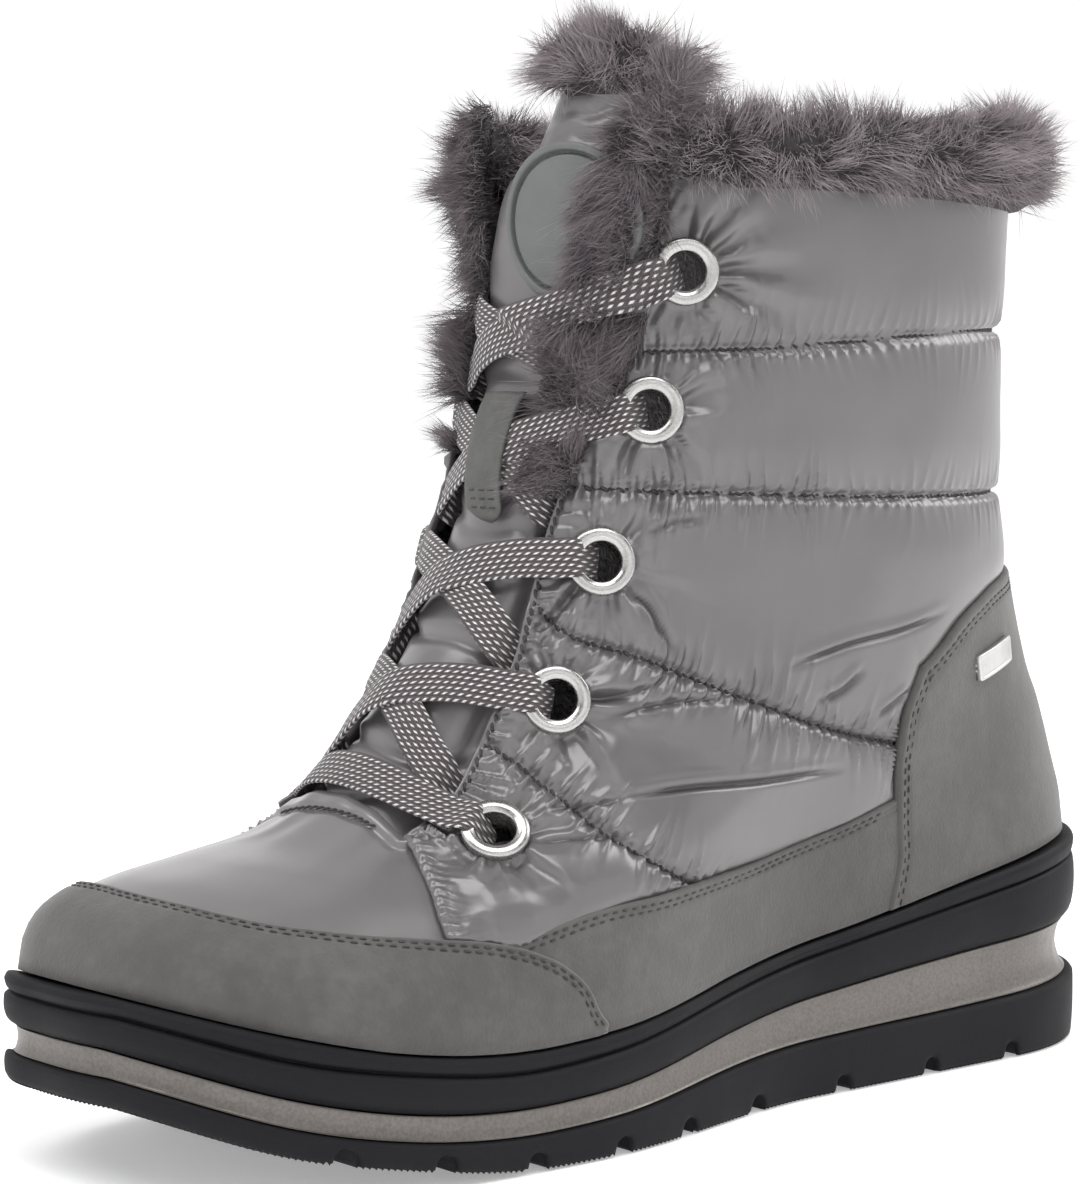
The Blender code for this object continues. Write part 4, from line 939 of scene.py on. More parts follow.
def metal_finish(name, colour, roughness, stretch=(1, 1, 1)):
    """Metal with fine scratches: a noise drawn out along one direction dulls and bumps it."""
    made, tree, shader, where = finish_of(name, roughness, Metallic=1.0)
    drawn = node(tree, "Mapping", {"Vector": where, "Scale": stretch}).outputs[0]
    scratch = noise(tree, drawn, 900, 3)
    cloud = noise(tree, where, 130, 3)
    dress(shader, ramp(tree, cloud, (.3, shaded(colour, .88)), (.7, colour)),
          levels(tree, scratch, .3, .7, roughness - .06, roughness + .08),
          bump(tree, scratch, .000012, .5))
    return made


centre, axis = stand(PLATE_V, np.radians(PLATE_DEG))
across, up = frame_of(axis)
tilt = np.radians(PLATE_TILT)
along, over = across * np.cos(tilt) + up * np.sin(tilt), up * np.cos(tilt) - across * np.sin(tilt)
turn = np.arange(-36, 36) / 36
turn = (np.pi * (turn + .11 * np.sin(4 * np.pi * turn) / np.pi))[None, :]
inset, height = np.array(PLATE_PROFILE).T[..., None]
corner = np.abs(np.cos(turn)) ** PLATE_CORNER + np.abs(np.sin(turn)) ** PLATE_CORNER
corner = corner ** (-1 / PLATE_CORNER)
x = np.cos(turn) * corner * (PLATE_LENGTH / 2 - inset)
y = np.sin(turn) * corner * np.maximum(PLATE_WIDTH / 2 - inset, .02)
z = LEATHER + PLATE_SEAT + height * 1.4 - x ** 2 / (2 * PLATE_BEND)
grid = centre + (x[..., None] * along + y[..., None] * over + z[..., None] * axis) * MM
steel_plate = metal_finish("brushed_steel", (.62, .61, .60), .34, (1, 1, .1))
half = np.arange(1, 36)
last = (len(grid) - 1) * 72
lid = np.stack([last + half - 1, last + half, last + 71 - half, last + (72 - half) % 72], -1)
base = np.stack([half - 1, half, 71 - half, (72 - half) % 72], -1)
faces = np.concatenate([rings(grid), lid, base])
piece("plate", grid, faces, steel_plate, ["heel_plate"])

# ---------------------------------------------------------------- insole and lining
# A loose felt footbed, and a short-piled fleece that lines the whole inside of the shaft and toe.
WALL = 4.5                              # shell, wadding and fleece together, mm
INSOLE_ROOM, INSOLE_LIFT, INSOLE_THICK = 1.0, .4, 3.0


def fleece_finish(name, dark, light, scale):
    """Short curly pile: light tips over dark roots, with a soft sheen."""
    curl = (scale, 3, .6, 1.5)
    return cloudy_finish(name, .95, curl, dark, light, (curl, .0012), Sheen_Weight=.5,
                         Sheen_Roughness=.4)


turn = np.linspace(0, 2 * np.pi, 200, endpoint=False)
rim = raised(np.zeros(200), turn, np.full(200, -WALL - INSOLE_ROOM))
mirrored = raised(np.zeros(200), -turn, np.full(200, -WALL - INSOLE_ROOM))
middle = (rim + mirrored) / 2
share, height = np.array([(0, 0), (.5, 0), (.97, 0), (1, .4), (1, 2.2), (.985, 2.8), (.95, 3.0),
                          (.8, 2.9), (.5, 2.75), (.25, 2.7), (0, 2.7)]).T[..., None]
x = middle[:, 0] + (rim[:, 0] - middle[:, 0]) * share
y = middle[:, 1] + (rim[:, 1] - middle[:, 1]) * share
z = band("midsole_top", y) + (INSOLE_LIFT + height * INSOLE_THICK / 3) * MM
grid = np.stack([x, y, z], -1)
felt = fleece_finish("grey_felt", (.05, .047, .047), (.10, .094, .093), 500)
piece("insole_body", grid, rings(grid), felt, ["insole"])

fleece = fleece_finish("grey_fleece", (.045, .040, .042), (.12, .108, .112), 420)
rise = np.linspace(0, 1, 90)[:, None]
v = THROAT_BASE + rise * (1 - THROAT_BASE)
half = throat(v) + np.radians(.5)
a = half + np.linspace(0, 1, 150)[None, :] * (2 * np.pi - 2 * half)
v = v + 0 * a
cells = clear_of_eyelets(v, a, (1, -1))[:, ::-1]
piece("lining_shaft", raised(v, a, np.full(v.shape, -WALL)), cells, fleece, closed=False)
a = np.linspace(0, 2 * np.pi, 160)[None, :]
half = np.radians(THROAT_DEG[0])
near = np.minimum(a, 2 * np.pi - a) / half
top = THROAT_BASE + THROAT_BOW * np.clip(1 - near ** 2, 0, 1)
v = np.linspace(0, 1, 36)[:, None] * top
grid = raised(v, a + 0 * v, np.full(v.shape, -WALL))
piece("lining_toe", grid, quads(*v.shape)[:, ::-1], fleece, closed=False)

# ---------------------------------------------------------------- tongue
# A padded tongue of the same satin nylon, sewn under the vamp and folded softly where the laces
# cross it.  A round rubber badge with a raised rim and a plain face is welded near its top.
TONGUE_V = (.36, .40, .47, .60, .72, .80, .85, .90, .95, .99, 1.02, 1.06, 1.11)
TONGUE_CROWN = (-5.3, -5.1, -1.6, -1.0, -.6, -.4, 0, 1.6, 5.0, 6.5, 6.5, 5.0, 2.0)
TONGUE_SUNK_IN = (-5.3, -5.3, -5.3, -5.3, -5.3, -5.3, -5.3, -3.5, 2.0, 4.5, 4.5, 3.5, 1.0)
TONGUE_SUNK_OUT = (-5.3, -5.3, -5.3, -5.3, -5.3, -5.3, -5.3, -4.5, 1.0, 3.0, 3.0, 2.0, 0)
TONGUE_INNER = (33, 34, 36, 36, 31, 29, 28, 20, 12, 5, 0, -3, -5)       # reach in degrees
TONGUE_OUTER = (33, 34, 36, 36, 31, 29, 27, 24, 25.5, 26.5, 27.5, 28.5, 29)
TONGUE_WALL = 4.0
TONGUE_SHOULDER, FOLD_DEEP = .88, 1.6   # share of the throat where its sides begin; factor on folds
TONGUE_FOLDS = (
    # middle height share, rise towards the outer side, depth and half width in mm
    (.452, .010, .5, 1.3), (.515, -.022, .7, 1.5), (.578, .02, .6, 1.3), (.640, -.018, .8, 1.6),
    (.690, .02, .5, 1.2), (.745, -.015, .6, 1.5), (.862, .012, .45, 1.4), (1.045, -.006, .5, 2.0),
    (1.075, .006, .5, 2.2),
)
BADGE_V, BADGE_A = .966, np.radians(12.5)
BADGE_RADIUS, BADGE_SEAT, BADGE_THICK, BADGE_BEND = 17.0, .5, 1.6, 60
BADGE_SHARE, BADGE_REACH = 252, 55      # mm for one whole share v, and for one radian there
FRONT_REACH = 68                        # mm for one radian in the middle of the tongue
BADGE_PROFILE = (
    # share of the radius, then height in thicknesses
    (.93, -.5), (.985, -.3), (.99, .1), (1, .5), (.998, .75), (.985, .93), (.96, 1), (.935, 1),
    (.91, .95), (.9, .60), (.888, .12), (.87, .02), (.852, .12), (.840, .60), (.825, .72),
    (.8, .70), (.7, .69), (.5, .69), (.25, .69), (0, .69),
)


def tongue_height(v, a):
    """Tongue's face above the form, in mm: edge + (crown - edge)(1 - side^5), where side runs from
    0 in its middle to 1 at each shoulder.  Its head leans to the outer side."""
    crown, sunk_in, sunk_out, inner, outer = (
        through(TONGUE_V, column, v) for column in
        (TONGUE_CROWN, TONGUE_SUNK_IN, TONGUE_SUNK_OUT, TONGUE_INNER, TONGUE_OUTER))
    inner, outer = np.radians(inner), np.radians(outer)
    middle = (outer - inner) / 2
    shoulder = TONGUE_SHOULDER * throat(v)
    side = np.where(a > middle, (a - middle) / (np.minimum(shoulder, outer) - middle),
                    (middle - a) / (np.minimum(shoulder, inner) + middle))
    edge = np.where(a > middle, sunk_out, sunk_in)
    return edge + (crown - edge) * (1 - np.clip(side, 0, 1) ** 5)


def tongue_face(v, a, depth=0.0):
    """Point of the tongue at a depth in mm below its outer face."""
    return raised(v, a, tongue_height(v, a) - depth)


def across_tongue(v, share):
    """Angle at a share from -1 to 1 of the way from the tongue's inner to its outer edge."""
    inner, outer = through(TONGUE_V, TONGUE_INNER, v), through(TONGUE_V, TONGUE_OUTER, v)
    return np.radians((outer - inner) / 2 + share * (outer + inner) / 2)


def lids(grid):
    """Cells that close the first and the last ring of a tube, each joining its two halves."""
    rows, columns = grid.shape[:2]
    i = np.arange(columns // 2 - 1)
    lid = np.stack([i, i + 1, columns - 1 - i, (columns - i) % columns], -1)
    return np.concatenate([lid, lid + (rows - 1) * columns])


turn = np.linspace(0, 2 * np.pi, 104, endpoint=False)[None, :]
share = signed(np.cos(turn), .8)
outside = np.sin(turn) >= 0
v = np.linspace(TONGUE_V[0], TONGUE_V[-1], 190)[:, None]
a = across_tongue(v, share)
depth = TONGUE_WALL * (.5 - .5 * signed(np.sin(turn), .45))
v = v + 0 * a
form = upper_surface(v, a)
dent = 0
for level, tilt, deep, width in TONGUE_FOLDS:
    gap = (v - level - tilt * share - .004 * np.sin(share * 7 + 40 * level)) * BADGE_SHARE / width
    fold = bell(gap) - .5 * bell(gap - 2.4)
    dent = dent + FOLD_DEEP * deep * fold * np.exp(-(share / .8) ** 4)
dent = dent * outside + .35 * ripple(form, 9 * MM, 41) * outside
grid = raised(v, a, tongue_height(v, a) - depth - dent)
faces = np.concatenate([rings(grid), lids(grid)])
# painted light: the same nylon as the quarters, made lighter by 1.12
tongue_nylon_painted_light = nylon_finish("grey_tongue_nylon", shaded(NYLON, 1.12), .4)
piece("tongue_pad", grid, faces, tongue_nylon_painted_light, ["tongue"])


def badge_frame():
    """Middle of the badge's back and its directions across, up and out, lifted until the whole
    bent disc clears the tongue."""
    centre = tongue_face(BADGE_V, BADGE_A)
    across = tongue_face(BADGE_V, BADGE_A + .12) - tongue_face(BADGE_V, BADGE_A - .12)
    up = tongue_face(BADGE_V + .03, BADGE_A) - tongue_face(BADGE_V - .03, BADGE_A)
    across, out = unit(across), unit(np.cross(across, up))
    up = np.cross(out, across)
    v, share = np.meshgrid(np.linspace(BADGE_V - .08, BADGE_V + .08, 60), np.linspace(-1, 1, 60))
    near = (tongue_face(v, across_tongue(v, share)) - centre) / MM
    x, y, z = near @ across, near @ up, near @ out
    under = np.hypot(x, y) < BADGE_RADIUS + 1
    lift = (z + x ** 2 / (2 * BADGE_BEND))[under].max() + BADGE_SEAT
    return centre + out * lift * MM, across, up, out


centre, across, up, out = badge_frame()
turn = np.linspace(0, 2 * np.pi, 240, endpoint=False)[None, :]
radius, height = np.array(BADGE_PROFILE).T[..., None]
notched = (np.abs(radius - .87) < .03) * .2 * (np.sin(turn * 60) > 0)
x, y = BADGE_RADIUS * radius * np.cos(turn), BADGE_RADIUS * radius * np.sin(turn)
z = (height - notched) * BADGE_THICK - x ** 2 / (2 * BADGE_BEND)
grid = centre + (across * x[..., None] + up * y[..., None] + out * z[..., None]) * MM
badge_rubber = cloudy_finish("grey_badge_rubber", .5, (90, 4), (.118, .125, .124), (.15, .157, .156),
                             ((1500, 2), .00008, .8))
piece("badge", grid, rings(grid), badge_rubber, ["tongue_badge"])

# ---------------------------------------------------------------- lace keeper
# A short leather strap over the second crossing, its ends sewn to the tongue: a rounded lower
# tip, dark cut edges, and a small box of stitches.
KEEPER_TOP, KEEPER_FOOT = .848, .745
KEEPER_WIDTH, KEEPER_THICK, KEEPER_ARCH = 11.6, 1.4, 3.4
KEEPER_LEAN = .09                       # of its foot to the outer side, in radians

rise = np.linspace(0, 1, 110)[:, None]
turn = np.radians(np.arange(0, 360, 12))[None, :]
tip = np.sqrt(np.clip(1 - (np.clip(rise - .90, 0, 1) / .1) ** 2, 0, 1))
head = np.sqrt(np.clip(1 - (np.clip(.03 - rise, 0, 1) / .03) ** 2, 0, 1)) * .15 + .85
half = KEEPER_WIDTH / 2 * tip * head * (1 - .06 * np.sin(np.pi * rise)) / FRONT_REACH
x, z = signed(np.cos(turn), .35), signed(np.sin(turn), .6)
v = KEEPER_TOP + rise * (KEEPER_FOOT - KEEPER_TOP) + 0 * x
lift = .6 + KEEPER_ARCH * np.sin(np.pi * rise) ** .4
thick = KEEPER_THICK / 2 * (.4 + .6 * tip)
strap = tongue_face(v, KEEPER_LEAN * rise ** 3 + half * x, -lift - KEEPER_THICK / 2 - thick * z)
keeper_leather = cloudy_finish("grey_keeper_leather", .6, (300, 4), (.070, .070, .066),
                               (.10, .099, .094), ((1300, 3), .00015))
faces = np.concatenate([rings(strap), lids(strap)])
piece("keeper", strap, faces, keeper_leather, ["lace_keeper"])
at, over = (k.ravel() for k in np.meshgrid((.80, .86, .92), (-.52, 0, .52)))
v = KEEPER_TOP + at * (KEEPER_FOOT - KEEPER_TOP)
a = KEEPER_LEAN * at ** 3 + over * KEEPER_WIDTH / 2 / FRONT_REACH
lift = .6 + KEEPER_ARCH * np.sin(np.pi * at) ** .4 + KEEPER_THICK
row = (tongue_face(v, a, -lift), unit(slopes(v, a)[0]), stand(v, a)[1])
stitches("keeper_stitches", [row], 2.2, .45, .4, thread_finish)

# ---------------------------------------------------------------- eyelets
# Five on each side: domed nickel rings clenched through the facing, with a barrel that the lace
# goes down.  Their faces are turned smooth and a little worn.
EYELET_DOME, EYELET_SINK = 1.5, 1.2
EYELET_TAIL = .6


def seat_of(share, degrees, side):
    """Where an eyelet's rim stands: its centre, its axis and two directions square to it, lifted
    until the rim clears the curved form."""
    a = side * np.radians(degrees)
    centre, axis = stand(share, a)
    across, up = frame_of(axis)
    turn = np.linspace(0, 2 * np.pi, 12, endpoint=False)[:, None]
    rim = np.cos(turn) * across + np.sin(turn) * up
    near = upper_surface(*slide(np.full(12, share), np.full(12, a), rim * EYELET_OUTER * MM))
    high = max(float(((near - centre) @ axis).max()), 0) / MM
    return centre + axis * (.8 + high) * MM, axis, across, up


dome = np.linspace(0, np.pi, 15)
ridge = (EYELET_OUTER + EYELET_BORE) / 2 + (EYELET_OUTER - EYELET_BORE) / 2 * signed(np.cos(dome), .8)
profile = [(EYELET_BARREL, -WALL - EYELET_TAIL), (EYELET_BARREL, -EYELET_SINK),
           (EYELET_OUTER - .3, -EYELET_SINK)]
profile += list(zip(ridge, EYELET_DOME * np.sin(dome) ** .6 - .15 * (dome > 2)))
profile += [(EYELET_BORE, -.6), (EYELET_BORE, -2.5), (EYELET_BORE, -WALL - EYELET_TAIL)]
radius, height = np.array(profile).T[:, :, None, None] * MM
turn = np.linspace(0, 2 * np.pi, 56, endpoint=False)[None, :, None]
faces = quads(len(profile) + 1, 56, wrap=True) % (56 * len(profile))     # its last row is the first
nickel = metal_finish("nickel", (.52, .51, .50), .25)
for side, word in ((1, "outer"), (-1, "inner")):
    for number, (share, degrees) in enumerate(EYELETS, 1):
        seat, axis, across, up = seat_of(share, degrees, side)
        grid = seat + (np.cos(turn) * across + np.sin(turn) * up) * radius + axis * height
        piece(f"eyelet_ring_{word}_{number}", grid, faces, nickel,
              [f"eyelet_{word}_{number}"])

# ---------------------------------------------------------------- laces
# One flat woven lace, dark with seven rows of white dashes.  From each hole it crosses to the
# other side and goes down under that facing to the next hole; the lowest run is a level bar.
LACE_WIDTH, LACE_THICK, LACE_LIFT, LACE_SLACK = 8.6, 1.4, .9, .6
LACE_BOW = (.004, .026, .06, .10, .101)
ROW_PITCH, DASH_PITCH = 1.22, 1.75      # of the white dashes, across and along, mm
DASH_LONG, DASH_WIDE = (.17, .26), (.14, .27)    # where a dash fades out, as shares of the pitches
HOLE_REACH, HOLE_DIVE = (0, 2.6, 4.2, 5.8, 8, 10.5), (-7, -2.4, .9, 1.7, .7, 0)
CROSSING_RISE = (2.1, 1.5, 1.5, 1.5)    # of each upper strip over the lower one, mm
HOLE_PINCH = ((0, 3, 6, 10), (.82, .88, .97, 1))
UNDER_REACH = 6.0                       # how far a lace runs on beneath a facing, mm
BADGE_COVER = 7.6                       # underside of a lace where it runs over the badge's rim


def lace_height(v, a):
    """Underside of a lace in mm: on the facing beside the throat, on the tongue's crown across."""
    crown = tongue_height(v, np.clip(a, -.8 * throat(v), .8 * throat(v))) + LACE_LIFT + LACE_SLACK
    over = np.clip((throat(v) * 1.05 - np.abs(a)) / (.3 * throat(v)), 0, 1)
    gap = np.hypot((v - BADGE_V) * BADGE_SHARE, (a - BADGE_A) * BADGE_REACH)
    on_badge = BADGE_COVER * eased(BADGE_RADIUS + 7, BADGE_RADIUS + 2, gap)
    return np.maximum(np.maximum(LACE_LIFT, crown * over * over * (3 - 2 * over)), on_badge)


def lace(name, start, end, bow, rise=0.0, bar=False, stands_for=()):
    """Woven strip: v = v1 + (v2 - v1) t + bow sin(pi t), a from a1 to a2.  Its section is a flat
    rounded oval, narrower and dipping where it enters a hole, and its far end goes under."""
    t = np.linspace(0, 1, 900)
    v = start[0] + (end[0] - start[0]) * t + bow * np.sin(np.pi * t)
    a = start[1] + (end[1] - start[1]) * t
    form = upper_surface(v, a)
    run = run_along(form) / MM
    if bar:
        last = run[-1]
    else:
        inside = np.argmax((np.sign(a) == np.sign(end[1])) & (np.abs(a) > throat(v)))
        last = run[inside] + UNDER_REACH
    at = np.linspace(0, last, 180 if bar else 150)
    v, a = np.interp(at, run, v), np.interp(at, run, a)
    near = np.minimum(at, last - at) if bar else at
    extra = through(HOLE_REACH, HOLE_DIVE, np.minimum(near, HOLE_REACH[-1]))
    narrow = through(*HOLE_PINCH, np.minimum(near, 10))
    form, normal = stand(v, a)
    across = unit(np.cross(normal, np.gradient(form, axis=0)))
    turn = np.radians(np.arange(0, 360, 18))[None, :]
    x = signed(np.cos(turn), .45) * narrow[:, None] * LACE_WIDTH / 2
    z = (.5 + .5 * signed(np.sin(turn), .8)) * LACE_THICK
    side_v, side_a = slide(v[:, None] + 0 * x, a[:, None] + 0 * x, across[:, None] * x[..., None] * MM)
    height = lace_height(side_v, side_a)
    if not bar:
        hidden = np.maximum(tongue_height(side_v, side_a) + .9, -4.6)
        dive = eased(.80, .98, side_a * np.sign(end[1]) / throat(side_v))
        height = height * (1 - dive) + hidden * dive
    height = height + extra[:, None] + rise * bell(side_a, .16)
    sag = .12 * ripple(upper_surface(side_v, side_a), 7 * MM, 51)
    grid = raised(side_v, side_a, height + z + sag)
    uv = np.stack([x + 0 * z + 10, at[:, None] + 0 * x + 20], -1)
    faces = np.concatenate([rings(grid), lids(grid)])
    return piece(name, grid, faces, webbing, stands_for, uv)


def math(tree, operation, *values):
    """Result of a Math node on values or sockets."""
    return node(tree, "Math", dict(enumerate(values)), operation=operation).outputs[0]


webbing, tree, shader, where = finish_of("woven_lace", .8, Sheen_Weight=.2)
split = from_uv(tree)
lane = math(tree, "DIVIDE", split[0], ROW_PITCH)
row = math(tree, "FLOOR", lane)
cross = math(tree, "SUBTRACT", math(tree, "FRACT", lane), .5)
step = math(tree, "ADD", math(tree, "DIVIDE", split[1], DASH_PITCH), math(tree, "MULTIPLY", row, .5))
wobble = math(tree, "MULTIPLY", noise(tree, where, 300, 1), .25)
step = math(tree, "ADD", math(tree, "ADD", step, math(tree, "MULTIPLY", cross, -1.0)), wobble)
phase = math(tree, "ABSOLUTE", math(tree, "SUBTRACT", math(tree, "FRACT", step), .5))
width = math(tree, "ABSOLUTE", cross)
dash = math(tree, "MULTIPLY", levels(tree, phase, *DASH_LONG, 1, 0),
            levels(tree, width, *DASH_WIDE, 1, 0))
fibre = noise(tree, where, 2600, 2)
dark = ramp(tree, fibre, (.3, (.040, .031, .033)), (.7, (.10, .081, .085)))
pale = ramp(tree, fibre, (.25, (.66, .63, .64)), (.65, (.90, .88, .89)))
mixed = node(tree, "Mix", {0: dash, 6: dark, 7: pale}, data_type="RGBA").outputs[2]
rib = math(tree, "ADD", levels(tree, width, .1, .5, 1, 0), math(tree, "MULTIPLY", dash, .7))
dress(shader, mixed, None, bump(tree, rib, .00025, 1, bump(tree, fibre, .0001)))

holes = [(share, np.radians(degrees)) for share, degrees in EYELETS]
LACED_NODES = ("lace_crossing_1", "lace_crossing_2", "lace_crossing_3", "lace_lowest")
for k, covered in enumerate(LACED_NODES):
    (v1, a1), (v2, a2) = holes[k], holes[k + 1]
    lace(f"lace_over_{k + 1}", (v1, a1), (v2, -a2), LACE_BOW[k], CROSSING_RISE[k],
         stands_for=[covered])
    lace(f"lace_under_{k + 1}", (v1, -a1), (v2, a2), LACE_BOW[k])
v1, a1 = holes[-1]
lace("lace_bar", (v1, a1), (v1, -a1), LACE_BOW[-1], bar=True)

# ---------------------------------------------------------------- fur
# Soft curled pile sewn over the collar and over the head of the tongue, and the same pile of the
# lining pushing out along both edges of the throat.  Dark woven rolls carry the thin hairs; their
# near-black colour is painted shade of the deep pile.
FUR_ROLLS = {
    # degrees round the edge, then the core's middle and half size upwards and outwards, mm
    "collar": ((20, 45, 75, 105, 135, 165, 200, 250, 340), (5, 5.2, 5.2, 5.2, 6, 6.5, 6, 5.5, 5),
               (9, 7.6, 7.6, 8.6, 10.4, 10.9, 10.4, 10, 10), (1.5,) * 9, (8.2,) * 9),
    "tongue": ((-10, 30), (3.6, 3.6), (6.8, 6.8), (-1.5, -1.5), (7.2, 7.2)),
}
HAIR_AT, HAIR_WIDE = (0, .5, 1), (1, .8, 0)      # places along a hair, and its width there
HAIR_WIDTH, TUFT = .21, 4.8             # full width of a hair, and size of a tuft, mm
SWEEP, CURL, LOOSE, GATHER = .6, 1.2, .38, .3    # shared lean, shared curl, each hair's own, and
#                                       how far the tips of a tuft draw together
TUFTS = (
    # side of the foot, lowest and highest height share, least and most reach inward from the
    # throat's edge in degrees, number of hairs, length in mm, aim inward, outward and upward
    (1, .915, 1.000, -5, 11, 8500, 8.8, .68, .80, -.30),
    (1, .955, 1.070, -6, 6, 6500, 8.4, .45, .85, -.15),
    (1, 1.030, 1.145, -7, 3, 7500, 12.0, -.60, .40, .60),
    (1, .832, .908, -7, 14, 8000, 7.6, .85, .80, -.40),
    (1, .764, .812, -3, 11, 3000, 6.0, .95, .65, -.15),
    (-1, .910, 1.100, -3, 18, 11000, 7.4, .10, 1.0, -.10),
    (-1, .838, .912, -3, 6, 4400, 7.6, -.10, 1.0, -.10),
    (-1, .796, .815, -2, 4, 900, 5.0, 0, 1.0, -.10),
)


def edge_frames(face, v, a):
    """Feet along an edge of a face, with the directions up the face and out of it."""
    foot = face(np.full(a.shape, v), a)
    up = unit(foot - face(np.full(a.shape, v - .02), a))
    along = face(np.full(a.shape, v), a + .02) - face(np.full(a.shape, v), a - .02)
    return foot, up, unit(np.cross(along, up))


def section(size, a):
    """Middle and half size of a core, upwards and outwards, at the angles a round its edge."""
    degrees, *columns = size
    return [through(degrees, column, np.degrees(a)) for column in columns]


def roll(name, face, v, a, size, stands_for):
    """Core of a fur edge: an oval section carried along the edge and closed to a point."""
    foot, up, out = (k[:, None] for k in edge_frames(face, v, a))
    rise, high, reach, deep = (k[:, None, None] for k in section(size, a))
    turn = np.linspace(0, 2 * np.pi, 20, endpoint=False)[None, :, None]
    end = np.minimum(np.arange(len(a)), np.arange(len(a))[::-1])[:, None, None]
    full = np.clip(.02 + end / 8, 0, 1) ** .5
    high, deep = high * full * np.cos(turn), deep * full * np.sin(turn)
    grid = foot + (up * (rise + high) + out * (reach + deep)) * MM
    return piece(name, grid, rings(grid), fur_core, [stands_for])


def hairs(name, root, aim, length, droop, painted_shade, seed):
    """Hairs as narrow ribbons: p = root + length (aim t + bend t^2), where bend is a droop and a
    curl shared by one tuft, and the tips of a tuft draw together.  Painted shade darkens their tone; a
    negative amount lightens it as painted light."""
    draw = np.random.default_rng(seed)
    count = len(root)
    middle = (np.floor(root / (TUFT * MM) + draw.normal(0, .16, (count, 3))) + .5) * TUFT * MM
    sweep = np.stack([ripple(middle, 7 * MM, seed + k) + .6 * ripple(middle, 23 * MM, seed + 9 + k)
                      for k in range(3)], -1)
    curl = np.stack([ripple(middle, 3 * MM, seed + 20 + k) for k in range(3)], -1)
    aim = unit(aim + SWEEP * sweep + draw.normal(0, .2, (count, 3)))
    length = length * draw.uniform(.5, .95, count)[:, None]
    bend = SWEEP * sweep + CURL * curl + draw.normal(0, LOOSE, (count, 3)) - np.array((0, 0, droop))
    t = np.array(HAIR_AT)[:, None, None]
    path = root + length * MM * (aim * t + bend * .7 * t ** 2) + (middle - root) * GATHER * t ** 1.5
    side = unit(np.cross(aim, draw.normal(0, 1, (count, 3)))) * HAIR_WIDTH * MM / 2
    wide = np.array(HAIR_WIDE)[:, None, None]
    points = np.stack([path - side * wide, path + side * wide], 2).transpose(1, 0, 2, 3)
    points = points.reshape(count, 6, 3)[:, :5]
    cells = np.array([(0, 1, 3), (0, 3, 2), (2, 3, 4)])
    faces = cells[None] + 5 * np.arange(count)[:, None, None]
    tone = np.repeat(draw.uniform(0, 1, count) - painted_shade, 5)
    uv = np.stack([tone, np.tile(np.repeat(HAIR_AT, 2)[:5], count)], -1)
    return piece(name, points, faces, fur_finish, uv=uv, closed=False)


def roll_hairs(name, face, v, low, high, size, count, length, seed):
    """Hairs of a fur edge, rooted all round its core and standing away from its middle; those
    below lean outwards, and those at its two ends lean past them."""
    draw = np.random.default_rng(seed)
    a = draw.uniform(low, high, count)
    turn = draw.uniform(-2.6, 2.6, count)
    foot, up, out = edge_frames(face, v, a)
    rise, tall, reach, deep = (k[:, None] for k in section(size, a))
    cos, sin = np.cos(turn)[:, None], np.sin(turn)[:, None]
    middle = (low + high) / 2
    to_end = high - middle - np.abs(a - middle)
    full = .9 * np.where(to_end < .1, draw.uniform(0, 1, count) ** .5, 1)[:, None]
    root = foot + (up * (rise + full * tall * cos) + out * (reach + full * deep * sin)) * MM
    aim = up * (np.maximum(cos, -.35) + .1) + out * sin * (1 + .5 * (cos < -.35))
    splay = 1.4 * np.clip(1 - to_end / min(.2, .2 * (high - middle)), 0, 1)
    aim = aim + np.cross(up, out) * (np.sign(a - middle) * splay)[:, None]
    # painted light: the rolls' hairs are made a little lighter (painted shade of -.2)
    return hairs(name, root, aim, length, .22, -.2, seed)


# painted shade: the core is coloured near-black for the shade between the hairs
fur_core = cloudy_finish("fur_backing_painted_shade", .95, (600, 3), (.018, .015, .017), (.05, .043, .047))
fur_finish, tree, shader, where = finish_of("soft_fur", .75, Sheen_Weight=.3, Sheen_Roughness=.5,
                                            Specular_IOR_Level=.25)
split = from_uv(tree)
patch = noise(tree, where, 70, 3)
shade = math(tree, "ADD", math(tree, "MULTIPLY", split[0], .35), math(tree, "MULTIPLY", patch, .65))
# painted shade: each hair runs from dark at its root to light at its tip, for the shade deep in the pile
base = ramp(tree, shade, (.25, (.032, .026, .030)), (.75, (.080, .066, .073)))
tips = ramp(tree, shade, (.25, (.24, .205, .22)), (.75, (.52, .455, .475)))
along = levels(tree, split[1], .15, 1, 0, 1)
dress(shader, node(tree, "Mix", {0: along, 6: base, 7: tips}, data_type="RGBA").outputs[2])

start = float(throat(1.0)) + np.radians(1.5)
inside = np.linspace(start + .08, 2 * np.pi - start - .08, 150)
roll("collar_core", upper_surface, 1.0, inside, FUR_ROLLS["collar"], "fur_collar")
roll_hairs("collar_hairs", upper_surface, 1.0, start, 2 * np.pi - start, FUR_ROLLS["collar"],
           40000, 6.7, 71)
low, high = np.radians(1 - TONGUE_INNER[-1]), np.radians(TONGUE_OUTER[-1] - 1)
inside = np.linspace(low, high, 60)
roll("tongue_core", tongue_face, TONGUE_V[-1], inside, FUR_ROLLS["tongue"], "fur_tongue")
roll_hairs("tongue_hairs", tongue_face, TONGUE_V[-1], low, high, FUR_ROLLS["tongue"], 13000, 8.0, 72)

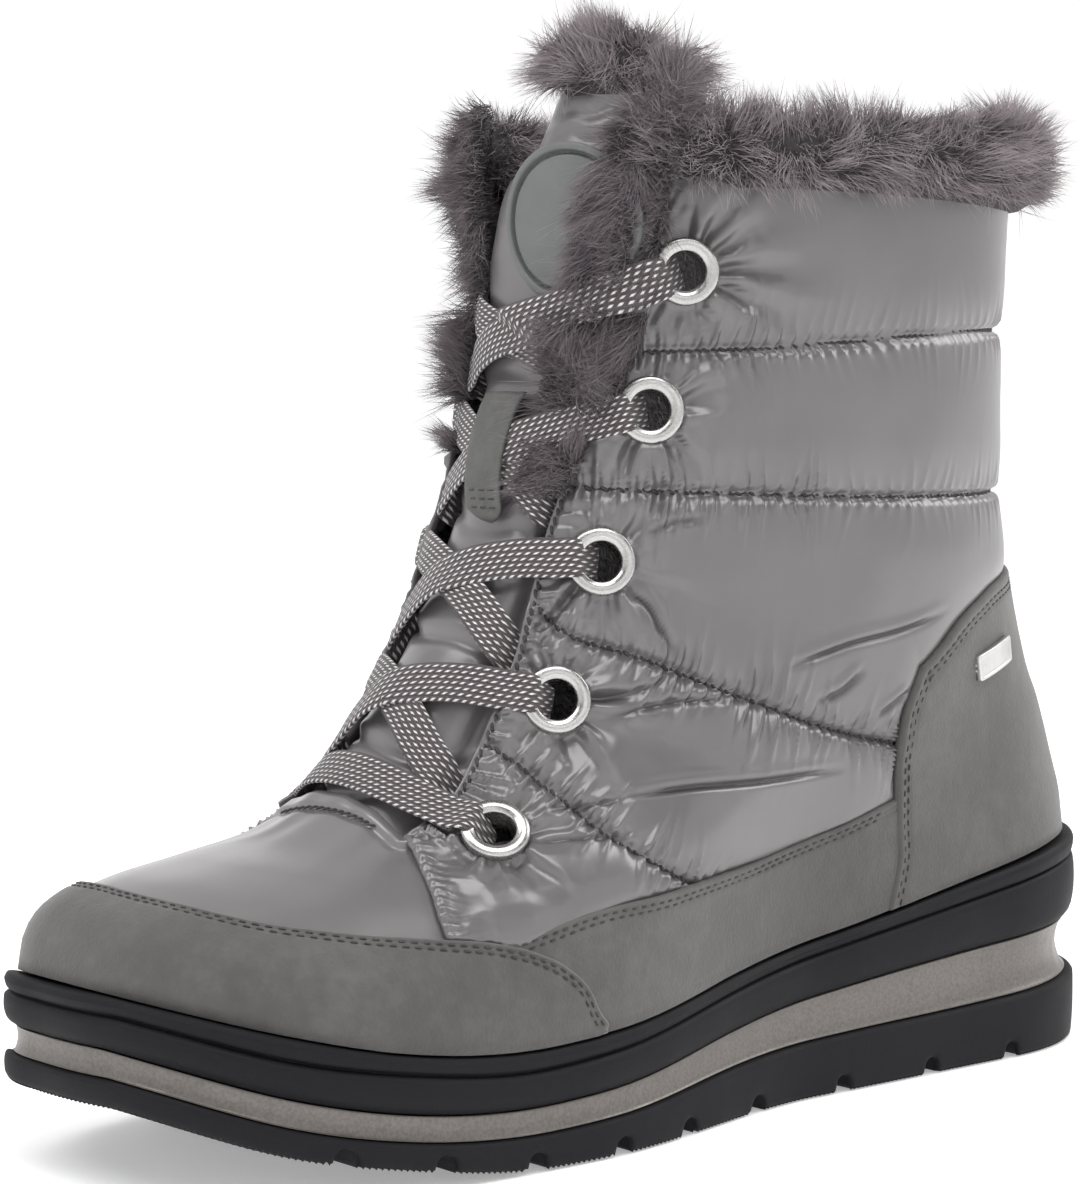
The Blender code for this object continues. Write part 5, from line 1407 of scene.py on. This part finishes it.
for number, (side, low, high, least, most, count, length, *ways) in enumerate(TUFTS, 1):
    draw = np.random.default_rng(80 + number)
    v = low + (high - low) * (draw.uniform(0, 1, count) + draw.uniform(0, 1, count)) / 2
    inward = least + (most - least) * draw.uniform(0, 1, count) ** 1.2
    a = side * (throat(np.minimum(v, 1)) - np.radians(inward))
    rest = np.where(inward > 0, lace_height(v, a) - .6, .6)
    root = raised(v, a, rest + draw.uniform(-1, 2, count))
    along, up = slopes(v, a)
    aim = -side * unit(along) * ways[0] + stand(v, a)[1] * ways[1] + unit(up) * ways[2]
    # painted shade: every tuft but the tall one at the outer collar is darkened, though it is the same
    # pile
    hairs(f"throat_tuft_{number}", root, aim, length, .15, .8 * (high < 1.12), 90 + number)

# ---------------------------------------------------------------- floor
# A pale studio sweep: flat under the boot and curving up all round it.
FLOOR_RADIUS, FLOOR_RISE = 2.6, 1.5     # metres

turn = np.linspace(0, 2 * np.pi, 72, endpoint=False)[None, :]
curve = np.linspace(0, 1, 30)[:, None]
radius = np.append([[.0]], .05 + FLOOR_RADIUS * np.sin(curve * np.pi / 2), 0)
height = np.append([[0]], FLOOR_RISE * np.clip((curve - .38) / .62, 0, 1) ** 2.4, 0)
grid = np.stack([radius * np.cos(turn), radius * np.sin(turn), height + 0 * turn - .0002], -1)
paper = cloudy_finish("white_paper", .9, (3, 2), (.91, .91, .91), (.93, .93, .93),
                      Emission_Color=(1, 1, 1, 1), Emission_Strength=.31)
mesh = bpy.data.meshes.new("floor")
mesh.from_pydata(grid.reshape(-1, 3), [], rings(grid))
mesh.materials.append(paper)
mesh.shade_smooth()
floor = bpy.data.objects.new("floor", mesh)
bpy.context.scene.collection.objects.link(floor)

# ---------------------------------------------------------------- light
# Large soft boxes: the key above the toe, a weaker one on the right, one overhead and one on the
# left that shine along the cloth, and one behind that lights the edge of the fur.
LAMPS = (
    # name, place, size in metres, power in watts
    ("key", (-.25, -.85, 1.35), .9, 9.5),
    ("side", (1.25, -.35, .8), .7, 1),
    ("top", (.5, -.2, 1.3), .8, 8),
    ("left", (-1.05, .3, .85), 1.8, 4.5),
    ("back", (.35, 1.15, 1.1), .9, 10),
)
scene = bpy.context.scene
for name, place, size, power in LAMPS:
    lamp = bpy.data.lights.new(name, "AREA")
    lamp.size, lamp.energy = size, power
    made = bpy.data.objects.new(name, lamp)
    made.location = place
    made.rotation_mode = "QUATERNION"
    made.rotation_quaternion = Vector(np.array((0, 0, .1)) - place).to_track_quat("-Z", "Y")
    made.visible_camera = False
    scene.collection.objects.link(made)
world = bpy.data.worlds.new("studio")
world.use_nodes = True
world.node_tree.nodes["Background"].inputs["Color"].default_value = (1, 1, 1, 1)
world.node_tree.nodes["Background"].inputs["Strength"].default_value = .28
scene.world = world
scene.view_settings.view_transform = "Standard"

# ---------------------------------------------------------------- camera
# Low and to the front of the outer side, about 0.7 m from the boot.
lens = bpy.data.cameras.new("camera")
lens.lens, lens.sensor_width, lens.clip_start = 100.3, 36, .01
camera = bpy.data.objects.new("camera", lens)
camera.location = (.5514, -.47263, .16169)
camera.rotation_mode = "QUATERNION"
aim = Vector((-.001476, -.018907, .111338)) - camera.location
camera.rotation_quaternion = aim.to_track_quat("-Z", "Y")
scene.collection.objects.link(camera)
scene.camera = camera
